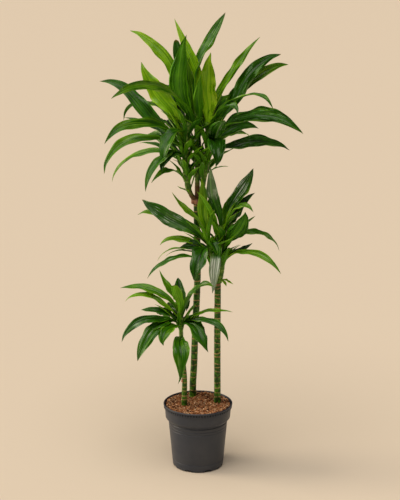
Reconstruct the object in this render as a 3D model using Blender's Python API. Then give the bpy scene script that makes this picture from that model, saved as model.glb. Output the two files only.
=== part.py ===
"""Potted corn plant: three bare canes, each with a head of long arching leaves, in a nursery pot.

Metres, +Z up. The origin is the centre of the pot's base. +X is to the plant's right as it is
seen from the front, and the front faces -Y.
"""

import math
from typing import NamedTuple

import bmesh
import bpy
from mathutils import Matrix, Vector

# The gap left between two pieces that touch
GAP = 0.0003

# Pot
POT_SIDES = 32
POT_HEIGHT = 0.2285
RIM_RADIUS = 0.120
RIM_HEIGHT = 0.0085
COLLAR_TOP_RADIUS = 0.1158
COLLAR_FOOT_RADIUS = 0.1128
COLLAR_FOOT = 0.176
STEP_HEIGHT = 0.007
BODY_TOP_RADIUS = 0.1030
BODY_FOOT_RADIUS = 0.0880
FOOT_CHAMFER = 0.004
EDGE_ROUND = 0.002
SHOULDER = 0.003
LIP_ROOM = 0.0015
POT_WALL = 0.003
DRAIN_SLOTS = 8
DRAIN_WIDTH = 0.012
DRAIN_HEIGHT = 0.006
DRAIN_DEPTH = 0.016

# Substrate of bark and coir
SOIL_TOP = 0.220
SOIL_RELIEF = 0.0035
LEVEL_EDGE = 0.012
SOIL_STEPS = 6
HOLE_SIDES = 20
HOLE_DEPTH = 0.075

# Canes
CANE_FOOT = SOIL_TOP - HOLE_DEPTH + GAP
STRAIGHT_FOOT = 0.024
SCAR_SWELL = 1.05
SCAR_WAIST = 0.965
SCAR_SLOPE = 0.30

# Blades
BLADE_THICKNESS = 0.0011
BLADE_SEGMENT = 0.055
FEWEST_SEGMENTS = 3
MOST_SEGMENTS = 6
FOOT_WIDTH_SHARE = 0.26
FOOT_FOLD = 40.0
BLADE_FOLD = 13.0
WIDENED_AT = 0.50
TAPER_FROM = 0.55
TAPER_POWER = 1.1
FOOT_DEPTH = 0.45
ROLLED_AT = 0.35
WAVE_SHARE = 0.085
WAVES = 2.0
WAVE_LEAD = 2.4
WAVE_SKEW = 0.7

# Leafy shoots
SHOOT_SIDES = 6
STEM_TAPER = 0.5
GOLDEN_TURN = 137.5


class Cane(NamedTuple):
    """A bare stem, from its buried foot to its top."""

    name: str
    path: tuple
    radius: float
    top_radius: float
    scar_spacing: float
    sides: int
    knob: float


class Leaf(NamedTuple):
    """One blade, given by its foot on the shoot, its tip and the slopes at both.

    foot is the height of its foot above the floor, turn the heading of its tip in degrees
    (0 right, 90 back, 180 left, 270 front), reach and rise the level and upright distance from
    foot to tip, and start and end the slopes there in degrees. lean rolls the blade about its
    own length, spring is how far the two slopes carry, as a share of its chord, and twist is
    how much further the blade has rolled at its tip.
    """

    foot: float
    turn: float
    reach: float
    rise: float
    start: float
    end: float
    width: float
    lean: float = 0.0
    spring: float = 0.42
    twist: float = 0.0


class Shoot(NamedTuple):
    """A leafy shoot: the points of its axis, its radius at foot and top, and its blades."""

    path: tuple
    radius: float
    leaves: tuple


class Finish(NamedTuple):
    """The plain surface values of one material."""

    colour: tuple
    roughness: float


CHARCOAL_PLASTIC = Finish((0.040, 0.040, 0.038), 0.55)
BARK_AND_COIR = Finish((0.130, 0.055, 0.028), 0.95)
GREEN_CANE = Finish((0.035, 0.075, 0.022), 0.60)
PALE_CANE = Finish((0.090, 0.140, 0.035), 0.60)
LEAF_GREEN = Finish((0.030, 0.130, 0.018), 0.35)

TALL_CANE = Cane(
    name="cane_tall",
    path=((-0.018, 0.080, 0.20), (-0.012, 0.080, 0.40), (-0.001, 0.080, 0.66), (-0.004, 0.080, 0.936)),
    radius=0.0120,
    top_radius=0.0110,
    scar_spacing=0.024,
    sides=8,
    knob=1.45,
)
MIDDLE_CANE = Cane(
    name="cane_middle",
    path=((0.068, 0.015, 0.20), (0.067, 0.015, 0.45), (0.068, 0.015, 0.655)),
    radius=0.0115,
    top_radius=0.0110,
    scar_spacing=0.0175,
    sides=8,
    knob=1.0,
)
SHORT_CANE = Cane(
    name="cane_short",
    path=((-0.047, -0.010, 0.20), (-0.046, -0.010, 0.33), (-0.057, -0.010, 0.458)),
    radius=0.0098,
    top_radius=0.0066,
    scar_spacing=0.015,
    sides=8,
    knob=1.0,
)


def level(degrees):
    """The level direction at this heading."""
    return Vector((math.cos(math.radians(degrees)), math.sin(math.radians(degrees)), 0.0))


def ease(value):
    """A smooth step from 0 to 1."""
    value = min(1.0, max(0.0, value))
    return value * value * (3.0 - 2.0 * value)


def clasping_leaves(low, high, count, first):
    """Short young blades that stand close to the shoot among the long ones."""
    leaves = []
    for k in range(count):
        share = k / (count - 1)
        leaves.append(
            Leaf(
                foot=low + (high - low) * share,
                turn=first + GOLDEN_TURN * k,
                reach=0.045 + 0.015 * share,
                rise=0.085 + 0.035 * share,
                start=68.0,
                end=55.0,
                width=0.028,
            )
        )
    return tuple(leaves)


TALL_LEFT = Shoot(
    path=((-0.012, 0.074, 0.9363), (-0.030, 0.070, 0.962), (-0.040, 0.068, 1.02), (-0.043, 0.062, 1.09),
          (-0.030, 0.060, 1.20)),
    radius=0.0100,
    leaves=(
        Leaf(1.18, 116, 0.160, 0.240, 88, -50, 0.044, 0, 0.60),
        Leaf(1.16, 235, 0.140, -0.080, 35, -85, 0.054, 0, 0.50),
        Leaf(1.15, 150, 0.185, 0.242, 46, 58, 0.060, -45, 0.35),
        Leaf(1.12, 160, 0.310, 0.208, 32, 3, 0.046, -48, 0.38),
        Leaf(1.15, 145, 0.270, 0.035, 66, -80, 0.026, -20),
        Leaf(1.13, 213, 0.310, 0.027, 45, -58, 0.044, -38, 0.40),
        Leaf(1.11, 205, 0.300, -0.058, 38, -75, 0.040, -30),
        Leaf(1.055, 167, 0.260, -0.070, 42, -72, 0.034, -25),
        Leaf(1.08, 150, 0.180, 0.038, 18, -5, 0.020, -20),
        Leaf(1.08, 136, 0.300, 0.107, 34, 2, 0.026, -30),
        Leaf(1.08, 235, 0.220, -0.078, 45, -85, 0.034, -12),
        Leaf(1.07, 240, 0.160, -0.012, 45, -65, 0.040, -15),
        Leaf(0.99, 228, 0.170, 0.030, 62, -45, 0.030, -10),
        Leaf(0.95, 222, 0.060, 0.042, 58, 42, 0.016),
        Leaf(1.17, 98, 0.220, 0.208, 70, 20, 0.046),
        Leaf(1.15, 107, 0.270, 0.140, 60, -12, 0.046),
        Leaf(1.12, 120, 0.300, 0.105, 45, -15, 0.046, -20),
        Leaf(1.09, 107, 0.310, 0.045, 38, -35, 0.046),
        Leaf(1.07, 127, 0.270, 0.036, 30, -25, 0.044, -20),
        Leaf(1.05, 102, 0.250, 0.000, 35, -45, 0.042),
    )
    + clasping_leaves(1.00, 1.12, 3, 250),
)
TALL_CENTRE = Shoot(
    path=((-0.002, 0.084, 0.9363), (-0.002, 0.088, 1.04), (-0.004, 0.086, 1.14), (-0.006, 0.085, 1.25)),
    radius=0.0092,
    leaves=(
        Leaf(1.21, 150, 0.255, 0.285, 66, 8, 0.042, -40, 0.38),
        Leaf(1.18, 150, 0.030, 0.235, 80, 95, 0.040, -55),
        Leaf(1.19, 110, 0.100, 0.255, 85, 72, 0.040),
        Leaf(1.20, 125, 0.130, 0.337, 78, 66, 0.036, -30),
        Leaf(1.20, 56, 0.170, 0.349, 94, 46, 0.052, -45, 0.40, 90),
        Leaf(1.17, 140, 0.050, 0.305, 52, 104, 0.058, -50),
        Leaf(1.21, 225, 0.370, 0.103, 46, -34, 0.046, -40, 0.38),
        Leaf(1.15, 290, 0.030, 0.220, 86, 86, 0.034),
        Leaf(1.20, 84, 0.240, 0.120, 72, -20, 0.046),
        Leaf(1.16, 94, 0.310, 0.030, 60, -45, 0.046),
        Leaf(1.13, 88, 0.290, -0.045, 45, -60, 0.044),
    )
    + clasping_leaves(1.04, 1.14, 2, 270),
)
TALL_RIGHT = Shoot(
    path=((0.007, 0.080, 0.9363), (0.016, 0.080, 0.975), (0.024, 0.078, 1.02), (0.036, 0.072, 1.10),
          (0.030, 0.068, 1.20)),
    radius=0.0092,
    leaves=(
        Leaf(1.16, 88, 0.035, 0.270, 74, 94, 0.056, 5),
        Leaf(1.17, 36, 0.220, 0.300, 68, 32, 0.030, 20, 0.38),
        Leaf(1.15, 28, 0.280, 0.270, 52, 12, 0.050, 38, 0.38),
        Leaf(1.14, 30, 0.320, 0.236, 46, -4, 0.042, 46, 0.38),
        Leaf(1.17, 318, 0.280, 0.102, 52, -62, 0.032, 25, 0.40),
        Leaf(1.17, 305, 0.180, 0.082, 50, -50, 0.038, 20),
        Leaf(1.13, 336, 0.332, 0.051, 50, -46, 0.060, 42),
        Leaf(1.09, 15, 0.290, 0.008, 25, -22, 0.050, 40, 0.38),
        Leaf(1.10, 289, 0.140, 0.134, 60, 45, 0.058),
        Leaf(1.12, 24, 0.190, 0.048, 45, -20, 0.046, 40),
        Leaf(1.13, 281, 0.170, -0.050, 22, -82, 0.062, 0, 0.45),
        Leaf(1.02, 325, 0.090, 0.040, 40, 10, 0.016),
        Leaf(1.17, 77, 0.220, 0.090, 60, -10, 0.046),
        Leaf(1.15, 67, 0.270, 0.105, 46, -5, 0.046, 15),
        Leaf(1.13, 80, 0.300, 0.079, 45, -25, 0.046),
        Leaf(1.10, 58, 0.280, 0.016, 20, -18, 0.044, 20),
        Leaf(1.07, 80, 0.290, 0.000, 32, -40, 0.044),
    )
    + clasping_leaves(1.03, 1.11, 2, 240),
)
MIDDLE_LEFT = Shoot(
    path=((0.063, 0.012, 0.6553), (0.054, 0.008, 0.690), (0.045, 0.004, 0.73), (0.036, 0.000, 0.79),
          (0.035, -0.002, 0.85)),
    radius=0.0088,
    leaves=(
        Leaf(0.80, 150, 0.265, 0.128, 30, 25, 0.054, -58, 0.38),
        Leaf(0.79, 158, 0.265, 0.080, 48, -22, 0.040, -35, 0.40),
        Leaf(0.82, 148, 0.145, 0.140, 55, 52, 0.024, -15, 0.40),
        Leaf(0.81, 130, 0.030, 0.212, 82, 88, 0.044, -30),
        Leaf(0.80, 300, 0.060, -0.030, 50, -60, 0.036, 0, 0.50),
        Leaf(0.78, 247, 0.100, -0.070, 25, -82, 0.056, 0, 0.45),
        Leaf(0.78, 165, 0.100, 0.005, 25, 10, 0.042, -40),
        Leaf(0.775, 160, 0.180, 0.000, 14, -50, 0.030, -30, 0.40),
        Leaf(0.765, 168, 0.180, -0.035, 12, -58, 0.016, 0, 0.40),
        Leaf(0.75, 210, 0.240, -0.040, 6, -50, 0.025, -15, 0.38),
        Leaf(0.75, 165, 0.155, -0.005, 15, -35, 0.016),
        Leaf(0.82, 82, 0.140, 0.135, 70, 30, 0.038),
        Leaf(0.79, 140, 0.185, 0.036, 32, -18, 0.040, -30),
        Leaf(0.76, 84, 0.200, -0.045, 35, -60, 0.042),
    )
    + clasping_leaves(0.71, 0.77, 3, 210),
)
MIDDLE_RIGHT = Shoot(
    path=((0.073, 0.018, 0.6553), (0.082, 0.018, 0.695), (0.086, 0.018, 0.74), (0.083, 0.016, 0.79),
          (0.076, 0.014, 0.87)),
    radius=0.0088,
    leaves=(
        Leaf(0.83, 225, 0.055, 0.235, 80, 86, 0.044, 20),
        Leaf(0.80, 215, 0.095, 0.190, 72, 62, 0.038, 10),
        Leaf(0.83, 45, 0.160, 0.202, 60, 50, 0.050, 28, 0.40),
        Leaf(0.82, 48, 0.170, 0.127, 58, 25, 0.038, 15),
        Leaf(0.80, 312, 0.150, 0.132, 80, -35, 0.036, 30),
        Leaf(0.80, 60, 0.140, 0.085, 75, 10, 0.040),
        Leaf(0.775, 318, 0.108, 0.147, 46, 64, 0.058, -45),
        Leaf(0.80, 40, 0.150, 0.070, 40, 30, 0.024),
        Leaf(0.79, 22, 0.215, -0.040, 48, -62, 0.034, 25),
        Leaf(0.735, 35, 0.120, 0.045, 34, 40, 0.030, 10),
        Leaf(0.725, 325, 0.230, -0.002, 55, -50, 0.030, 20),
        Leaf(0.79, 250, 0.085, -0.145, 40, -88, 0.044, 0, 0.50),
        Leaf(0.666, 325, 0.050, -0.006, 25, -10, 0.014),
        Leaf(0.668, 300, 0.040, -0.014, 10, -30, 0.012),
        Leaf(0.83, 66, 0.150, 0.110, 66, 20, 0.040),
        Leaf(0.81, 82, 0.190, 0.035, 60, -25, 0.042),
        Leaf(0.78, 70, 0.210, 0.015, 40, -22, 0.042, 15),
        Leaf(0.75, 98, 0.200, -0.050, 38, -55, 0.042),
    )
    + clasping_leaves(0.71, 0.78, 3, 300),
)
SHORT_SHOOT = Shoot(
    path=((-0.057, -0.010, 0.4583), (-0.058, -0.010, 0.50), (-0.058, -0.011, 0.54), (-0.058, -0.012, 0.58)),
    radius=0.0078,
    leaves=(
        Leaf(0.54, 160, 0.225, 0.085, 62, -15, 0.036, -25),
        Leaf(0.53, 165, 0.200, 0.060, 52, -38, 0.026, -25),
        Leaf(0.54, 138, 0.100, 0.150, 75, 58, 0.030, -15),
        Leaf(0.53, 235, 0.040, 0.150, 82, 62, 0.044, 12),
        Leaf(0.54, 92, 0.080, 0.116, 88, 68, 0.036),
        Leaf(0.53, 322, 0.140, 0.152, 68, 2, 0.044, 34),
        Leaf(0.53, 76, 0.095, 0.006, 88, -60, 0.036, 0, 0.75),
        Leaf(0.52, 168, 0.140, 0.038, 38, -5, 0.036, -25),
        Leaf(0.515, 207, 0.225, -0.027, 38, -58, 0.036, -35),
        Leaf(0.50, 220, 0.185, -0.078, 42, -78, 0.046, -35),
        Leaf(0.515, 213, 0.140, -0.018, 38, -50, 0.038, -35),
        Leaf(0.505, 238, 0.120, -0.030, 30, -80, 0.050, -10),
        Leaf(0.475, 270, 0.112, -0.118, 32, -96, 0.058, 0, 0.60),
        Leaf(0.51, 308, 0.140, -0.050, 40, -68, 0.054, 15),
        Leaf(0.51, 322, 0.205, -0.012, 45, -62, 0.036, 25),
        Leaf(0.52, 332, 0.195, 0.072, 32, 2, 0.026, 20),
        Leaf(0.54, 110, 0.140, -0.010, 60, -45, 0.038),
        Leaf(0.525, 122, 0.170, -0.016, 45, -30, 0.038, -15),
        Leaf(0.51, 112, 0.170, -0.055, 40, -60, 0.040),
        Leaf(0.50, 86, 0.160, -0.030, 35, -40, 0.036),
    ),
)
CROWNS = {
    "crown_tall": (TALL_LEFT, TALL_CENTRE, TALL_RIGHT),
    "crown_middle": (MIDDLE_LEFT, MIDDLE_RIGHT),
    "crown_short": (SHORT_SHOOT,),
}


def clear_scene():
    """Removes whatever the scene starts with."""
    for obj in list(bpy.data.objects):
        bpy.data.objects.remove(obj, do_unlink=True)


def material(name, finish):
    """A plain material with this finish."""
    made = bpy.data.materials.new(name)
    made.use_nodes = True
    shader = made.node_tree.nodes["Principled BSDF"]
    shader.inputs["Base Color"].default_value = (*finish.colour, 1.0)
    shader.inputs["Roughness"].default_value = finish.roughness
    shader.inputs["Metallic"].default_value = 0.0
    return made


def add_object(name, bm, dress=None, smooth=False):
    """Turns the bmesh into a named object of the scene."""
    bmesh.ops.recalc_face_normals(bm, faces=bm.faces)
    mesh = bpy.data.meshes.new(name)
    bm.to_mesh(mesh)
    bm.free()
    if smooth:
        mesh.shade_smooth()
        mesh.set_sharp_from_angle(angle=math.radians(35))
    obj = bpy.data.objects.new(name, mesh)
    bpy.context.scene.collection.objects.link(obj)
    if dress:
        mesh.materials.append(dress)
    return obj


def turned(profile, sides):
    """A solid of revolution about Z, from (radius, height) points."""
    bm = bmesh.new()
    verts = [bm.verts.new((radius, 0.0, height)) for radius, height in profile]
    edges = [bm.edges.new(pair) for pair in zip(verts, verts[1:])]
    bmesh.ops.spin(
        bm, geom=verts + edges, cent=(0, 0, 0), axis=(0, 0, 1), dvec=(0, 0, 0),
        angle=2 * math.pi, steps=sides, use_merge=True,
    )
    bmesh.ops.remove_doubles(bm, verts=bm.verts, dist=1e-6)
    return bm


def body_radius(height):
    """The outer radius of the pot's tapered body at this height."""
    share = height / (COLLAR_FOOT - STEP_HEIGHT)
    return BODY_FOOT_RADIUS + (BODY_TOP_RADIUS - BODY_FOOT_RADIUS) * share


def inner_wall(inset):
    """The pot's inner wall from top to floor, as (radius, height), moved inwards by inset."""
    return [
        (COLLAR_TOP_RADIUS - POT_WALL - inset, POT_HEIGHT - RIM_HEIGHT),
        (COLLAR_FOOT_RADIUS - POT_WALL - inset, COLLAR_FOOT + POT_WALL),
        (BODY_TOP_RADIUS - POT_WALL - inset, COLLAR_FOOT - STEP_HEIGHT + POT_WALL),
        (body_radius(POT_WALL) - POT_WALL - inset, POT_WALL + inset),
    ]


def hide_cutter(obj):
    """Keeps a cutter out of the finished object."""
    obj.hide_render = True
    obj.display_type = "WIRE"


def cut(obj, cutter):
    """Cuts the cutter out of the object."""
    hide_cutter(cutter)
    modifier = obj.modifiers.new("cut", "BOOLEAN")
    modifier.operation = "DIFFERENCE"
    modifier.object = cutter


def make_pot(dress):
    """The nursery pot: tapered body, wide collar, rolled rim and drain slots round its foot."""
    lip_inner = COLLAR_TOP_RADIUS + LIP_ROOM
    lip_foot = POT_HEIGHT - RIM_HEIGHT
    outer = [
        (0.0, 0.0),
        (BODY_FOOT_RADIUS - FOOT_CHAMFER, 0.0),
        (BODY_FOOT_RADIUS, FOOT_CHAMFER),
        (BODY_TOP_RADIUS, COLLAR_FOOT - STEP_HEIGHT),
        (COLLAR_FOOT_RADIUS - EDGE_ROUND, COLLAR_FOOT),
        (COLLAR_FOOT_RADIUS, COLLAR_FOOT + SHOULDER),
        (COLLAR_TOP_RADIUS, lip_foot),
        (RIM_RADIUS - EDGE_ROUND, lip_foot + LIP_ROOM),
        (RIM_RADIUS, lip_foot + LIP_ROOM + EDGE_ROUND),
        (RIM_RADIUS, POT_HEIGHT - EDGE_ROUND),
        (RIM_RADIUS - EDGE_ROUND, POT_HEIGHT),
        (lip_inner, POT_HEIGHT),
        (lip_inner - EDGE_ROUND, POT_HEIGHT - SHOULDER),
    ]
    bm = turned(outer + inner_wall(0.0) + [(0.0, POT_WALL)], POT_SIDES)
    pot = add_object("pot", bm, dress, smooth=True)
    slots = bmesh.new()
    for k in range(DRAIN_SLOTS):
        place = (
            Matrix.Rotation(2 * math.pi * (k + 0.5) / DRAIN_SLOTS, 4, "Z")
            @ Matrix.Translation((BODY_FOOT_RADIUS, 0.0, 0.0))
            @ Matrix.Diagonal((DRAIN_DEPTH, DRAIN_WIDTH, 2 * DRAIN_HEIGHT, 1.0))
        )
        bmesh.ops.create_cube(slots, size=1.0, matrix=place)
    cut(pot, add_object("drain_cutter", slots))


def soil_relief(x, y):
    """The height of the soil's lumps at this place."""
    coarse = math.sin(95 * x + 1.3) * math.cos(84 * y + 0.7)
    fine = math.sin(190 * x - 150 * y)
    return SOIL_RELIEF * (0.65 * coarse + 0.35 * fine)


def axis_point(path, height):
    """The point of a path of (x, y, z) points at this height."""
    for low, high in zip(path, path[1:]):
        if height <= high[2] or high is path[-1]:
            share = (height - low[2]) / (high[2] - low[2])
            return Vector(low).lerp(Vector(high), share)
    return Vector(path[-1])


def make_soil(dress):
    """The bark and coir fill, with a lumpy top and a plain hole for each cane."""
    wall = inner_wall(GAP)[::-1]
    edge = wall[-1][0]
    top = [(edge * (1 - k / SOIL_STEPS), SOIL_TOP) for k in range(SOIL_STEPS + 1)]
    bm = turned([(0.0, POT_WALL + GAP)] + wall[:-1] + top, POT_SIDES)
    for vert in bm.verts:
        radius = math.hypot(vert.co.x, vert.co.y)
        if vert.co.z > SOIL_TOP - 1e-6:
            vert.co.z += soil_relief(vert.co.x, vert.co.y) * ease((edge - radius) / LEVEL_EDGE)
    soil = add_object("substrate", bm, dress, smooth=True)
    holes = bmesh.new()
    for cane in (TALL_CANE, MIDDLE_CANE, SHORT_CANE):
        radius = (cane.radius * SCAR_SWELL + GAP) / math.cos(math.pi / HOLE_SIDES)
        x, y, _ = cane.path[0]
        bmesh.ops.create_cone(
            holes, cap_ends=True, segments=HOLE_SIDES, radius1=radius, radius2=radius,
            depth=2 * HOLE_DEPTH, matrix=Matrix.Translation((x, y, SOIL_TOP)),
        )
    cut(soil, add_object("hole_cutter", holes))


def stacked_rings(bm, rings, sides):
    """A closed tube through level rings, each given as (centre, radius)."""
    centre, radius = rings[0]
    ring = bmesh.ops.create_circle(
        bm, cap_ends=True, segments=sides, radius=radius, matrix=Matrix.Translation(centre)
    )
    face = ring["verts"][0].link_faces[0]
    for upper, upper_radius in rings[1:]:
        grown = bmesh.ops.extrude_discrete_faces(bm, faces=[face])["faces"][0]
        for vert in grown.verts:
            vert.co = Vector(upper) + (vert.co - Vector(centre)) * (upper_radius / radius)
        face, centre, radius = grown, upper, upper_radius
    bmesh.ops.holes_fill(bm, edges=[edge for edge in bm.edges if edge.is_boundary])
    return bm


def cane_rings(cane):
    """The rings of a cane: plain in the soil, then a swell and a waist at each leaf scar."""
    top = cane.path[-1][2]
    start = SOIL_TOP + STRAIGHT_FOOT
    foot = Vector((cane.path[0][0], cane.path[0][1], CANE_FOOT))
    rings = [(foot, cane.radius), (Vector((foot.x, foot.y, start)), cane.radius)]
    scars = round((top - start) / cane.scar_spacing)
    spacing = (top - start) / scars
    bend_in = 4 * cane.scar_spacing
    for k in range(1, scars):
        height = start + spacing * k
        radius = cane.radius + (cane.top_radius - cane.radius) * k / scars
        for rise, swell in ((0.0, SCAR_SWELL), (SCAR_SLOPE * spacing, SCAR_WAIST)):
            settle = ease((height + rise - start) / bend_in)
            centre = axis_point(cane.path, height + rise)
            centre.x = foot.x + (centre.x - foot.x) * settle
            centre.y = foot.y + (centre.y - foot.y) * settle
            rings.append((centre, radius * swell))
    if cane.knob > 1.0:
        rings[-2] = (rings[-2][0], cane.top_radius * cane.knob)
        rings[-1] = (rings[-1][0], cane.top_radius * cane.knob * 1.08)
    rings.append((Vector(cane.path[-1]), cane.top_radius * cane.knob * 0.98))
    return rings


def make_cane(cane, dress):
    """One cane, with its leaf scars as rings round it."""
    bm = bmesh.new()
    stacked_rings(bm, cane_rings(cane), cane.sides)
    bmesh.ops.remove_doubles(bm, verts=bm.verts, dist=1e-7)
    return add_object(cane.name, bm, dress, smooth=True)


def stem_radius(shoot, height):
    """The radius of a shoot's stem at this height."""
    low, high = shoot.path[0][2], shoot.path[-1][2]
    return shoot.radius * (1.0 - STEM_TAPER * (height - low) / (high - low))


def shoot_solid(shoot):
    """The stem of a shoot, tapering towards its growing end."""
    rings = [(Vector(point), stem_radius(shoot, point[2])) for point in shoot.path]
    bm = bmesh.new()
    stacked_rings(bm, rings, SHOOT_SIDES)
    bmesh.ops.remove_doubles(bm, verts=bm.verts, dist=1e-7)
    return bm


def blade_width(share):
    """The width of a blade along its length, as a share of its widest."""
    widened = FOOT_WIDTH_SHARE + (1.0 - FOOT_WIDTH_SHARE) * ease(share / WIDENED_AT)
    towards_tip = max(0.0, (share - TAPER_FROM) / (1.0 - TAPER_FROM))
    return widened * math.cos(towards_tip * math.pi / 2) ** TAPER_POWER


def blade_solid(leaf, shoot, order):
    """One blade: a folded, waved strip along its bowed line, with the same faces on both sides."""
    out = level(leaf.turn)
    foot = axis_point(shoot.path, leaf.foot) + FOOT_DEPTH * stem_radius(shoot, leaf.foot) * out
    up = Vector((0.0, 0.0, 1.0))
    tip = foot + leaf.reach * out + leaf.rise * up
    carry = leaf.spring * (tip - foot).length
    start, end = math.radians(leaf.start), math.radians(leaf.end)
    near = foot + carry * (math.cos(start) * out + math.sin(start) * up)
    far = tip - carry * (math.cos(end) * out + math.sin(end) * up)
    length = ((near - foot).length + (far - near).length + (tip - far).length + (tip - foot).length) / 2
    segments = min(MOST_SEGMENTS, max(FEWEST_SEGMENTS, round(length / BLADE_SEGMENT)))
    level_side = Vector((out.y, -out.x, 0.0))

    bm = bmesh.new()
    grid = bmesh.ops.create_grid(bm, x_segments=2, y_segments=segments, size=1.0)["verts"]
    for vert in grid:
        across, share = vert.co.x, (vert.co.y + 1.0) / 2.0
        rest = 1.0 - share
        centre = rest**3 * foot + 3 * rest**2 * share * near + 3 * rest * share**2 * far + share**3 * tip
        along = rest**2 * (near - foot) + 2 * rest * share * (far - near) + share**2 * (tip - far)
        along.normalize()
        rolled = leaf.lean * ease(share / ROLLED_AT) + leaf.twist * ease(share - ROLLED_AT / 2)
        roll = Matrix.Rotation(math.radians(rolled), 3, along)
        side = roll @ level_side
        normal = side.cross(along)
        half = leaf.width / 2 * blade_width(share)
        fold = math.radians(FOOT_FOLD + (BLADE_FOLD - FOOT_FOLD) * ease(share / WIDENED_AT))
        phase = 2 * math.pi * WAVES * share + (WAVE_LEAD + WAVE_SKEW * across) * order
        wave = WAVE_SHARE * leaf.width * math.sin(math.pi * share) * math.sin(phase)
        lift = abs(across) * (half * math.sin(fold) + wave)
        vert.co = centre + side * (across * half * math.cos(fold)) + normal * lift
    crown = [vert for vert in grid if (vert.co - tip).length < 1e-4]
    bmesh.ops.pointmerge(bm, verts=crown, merge_co=tip)
    bmesh.ops.triangulate(bm, faces=bm.faces, quad_method="FIXED")
    bmesh.ops.recalc_face_normals(bm, faces=bm.faces)
    bmesh.ops.solidify(bm, geom=bm.faces[:], thickness=BLADE_THICKNESS)
    return bm


def largest_shell(mesh):
    """Keeps the one outer body of the mesh and drops sealed pockets and loose scraps."""
    bm = bmesh.new()
    bm.from_mesh(mesh)
    unseen = set(bm.faces)
    shells = []
    while unseen:
        shell, waiting = [], [unseen.pop()]
        while waiting:
            face = waiting.pop()
            shell.append(face)
            neighbours = {other for edge in face.edges for other in edge.link_faces} & unseen
            unseen -= neighbours
            waiting += neighbours
        shells.append(shell)
    keep = max(shells, key=len)
    scraps = [face for shell in shells if shell is not keep for face in shell]
    bmesh.ops.delete(bm, geom=scraps, context="FACES")
    bm.to_mesh(mesh)
    bm.free()


def make_crown(name, shoots, dress):
    """A leafy head: shoots and blades made one body by a single union."""
    parts = bpy.data.collections.new(name + "_parts")
    bpy.context.scene.collection.children.link(parts)
    solids = []
    for shoot in shoots:
        solids.append(shoot_solid(shoot))
        for order, leaf in enumerate(shoot.leaves):
            solids.append(blade_solid(leaf, shoot, order))
    crown = add_object(name, solids[0], dress)
    for k, bm in enumerate(solids[1:]):
        piece = add_object(f"{name}_part_{k}", bm)
        bpy.context.scene.collection.objects.unlink(piece)
        parts.objects.link(piece)
    modifier = crown.modifiers.new("union", "BOOLEAN")
    modifier.operation = "UNION"
    modifier.operand_type = "COLLECTION"
    modifier.collection = parts
    graph = bpy.context.evaluated_depsgraph_get()
    joined = bpy.data.meshes.new_from_object(crown.evaluated_get(graph))
    crown.modifiers.clear()
    crown.data = joined
    joined.name = name
    for piece in list(parts.objects):
        bpy.data.objects.remove(piece, do_unlink=True)
    bpy.data.collections.remove(parts)
    largest_shell(joined)


def main():
    """Builds the pot, the soil, the canes and their leafy heads."""
    clear_scene()
    make_pot(material("charcoal_plastic", CHARCOAL_PLASTIC))
    make_soil(material("bark_and_coir", BARK_AND_COIR))
    green_cane = material("green_cane", GREEN_CANE)
    make_cane(TALL_CANE, green_cane)
    make_cane(MIDDLE_CANE, green_cane)
    make_cane(SHORT_CANE, material("pale_cane", PALE_CANE))
    leaf_green = material("leaf_green", LEAF_GREEN)
    for name, shoots in CROWNS.items():
        make_crown(name, shoots, leaf_green)


main()
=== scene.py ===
"""Looks of the potted corn plant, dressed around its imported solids.

Metres, +Z up. The origin is the centre of the pot's base, the front faces -Y and +X is to the
plant's right as seen from the front.
"""

import logging
import math
import random
from collections.abc import Callable
from dataclasses import dataclass, field
from enum import Enum
from functools import partial

import bmesh
import bpy
from mathutils import Matrix, Vector, noise


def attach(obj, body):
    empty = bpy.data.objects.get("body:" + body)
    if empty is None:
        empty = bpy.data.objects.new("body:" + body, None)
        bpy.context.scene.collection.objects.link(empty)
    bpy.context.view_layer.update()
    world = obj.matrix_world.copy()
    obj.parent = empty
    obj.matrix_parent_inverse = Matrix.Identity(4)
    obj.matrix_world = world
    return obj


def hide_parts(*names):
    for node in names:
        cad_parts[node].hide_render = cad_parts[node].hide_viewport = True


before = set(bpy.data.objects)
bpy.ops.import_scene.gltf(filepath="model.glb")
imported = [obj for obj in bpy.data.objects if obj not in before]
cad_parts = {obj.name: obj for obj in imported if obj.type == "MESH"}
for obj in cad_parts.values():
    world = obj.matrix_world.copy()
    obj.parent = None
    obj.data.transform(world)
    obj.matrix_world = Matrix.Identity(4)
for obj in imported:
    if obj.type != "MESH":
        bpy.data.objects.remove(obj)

LOG = logging.getLogger("potted_corn_plant")
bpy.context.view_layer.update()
UP = Vector((0.0, 0.0, 1.0))
MM = 0.001

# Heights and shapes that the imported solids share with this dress
SOIL_TOP = 0.220
SOIL_RELIEF = 0.0035
LEVEL_EDGE = 0.012
CANE_FOOT = 0.1453
STRAIGHT_FOOT = 0.024
FOOT_WIDTH_SHARE = 0.26
FOOT_FOLD = 40.0
BLADE_FOLD = 16.0
WIDENED_AT = 0.50
TAPER_FROM = 0.57
FOOT_DEPTH = 0.45
ROLLED_AT = 0.35
WAVE_SHARE = 0.085
WAVES = 2.0
WAVE_LEAD = 2.4
WAVE_SKEW = 0.7
STEM_TAPER = 0.5
SOIL_WAVES = (95, 84)
SOIL_LEADS = (1.3, 0.7)
SOIL_RIPPLES = (190, 150)
SOIL_SHARES = (0.65, 0.35)
GOLDEN_TURN = 137.5

# How finely the lumps of a ring change round it, and up the cane
LUMPS_ROUND = 2
LUMPS_UP = 90

# The two UV maps of a blade: real metres for its veins, and a page with a place for every face
VEIN_MAP = "veins"
PAGE_MAP = "OFBake"

# What a blade's vertices and a cane's vertices carry for their materials
BLADE_MARKS = ("tone", "wax_and_glint", "share", "fade", "edge")
CANE_MARKS = ("scar", "callus")

# The inputs of a node that maps one range onto another, in the order of the rows that fill them
SPAN = ("Value", "From Min", "From Max", "To Min", "To Max")

Colour = tuple[float, float, float, float]
Point = tuple[float, float, float]
Adder = Callable[..., bpy.types.Node]


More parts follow.
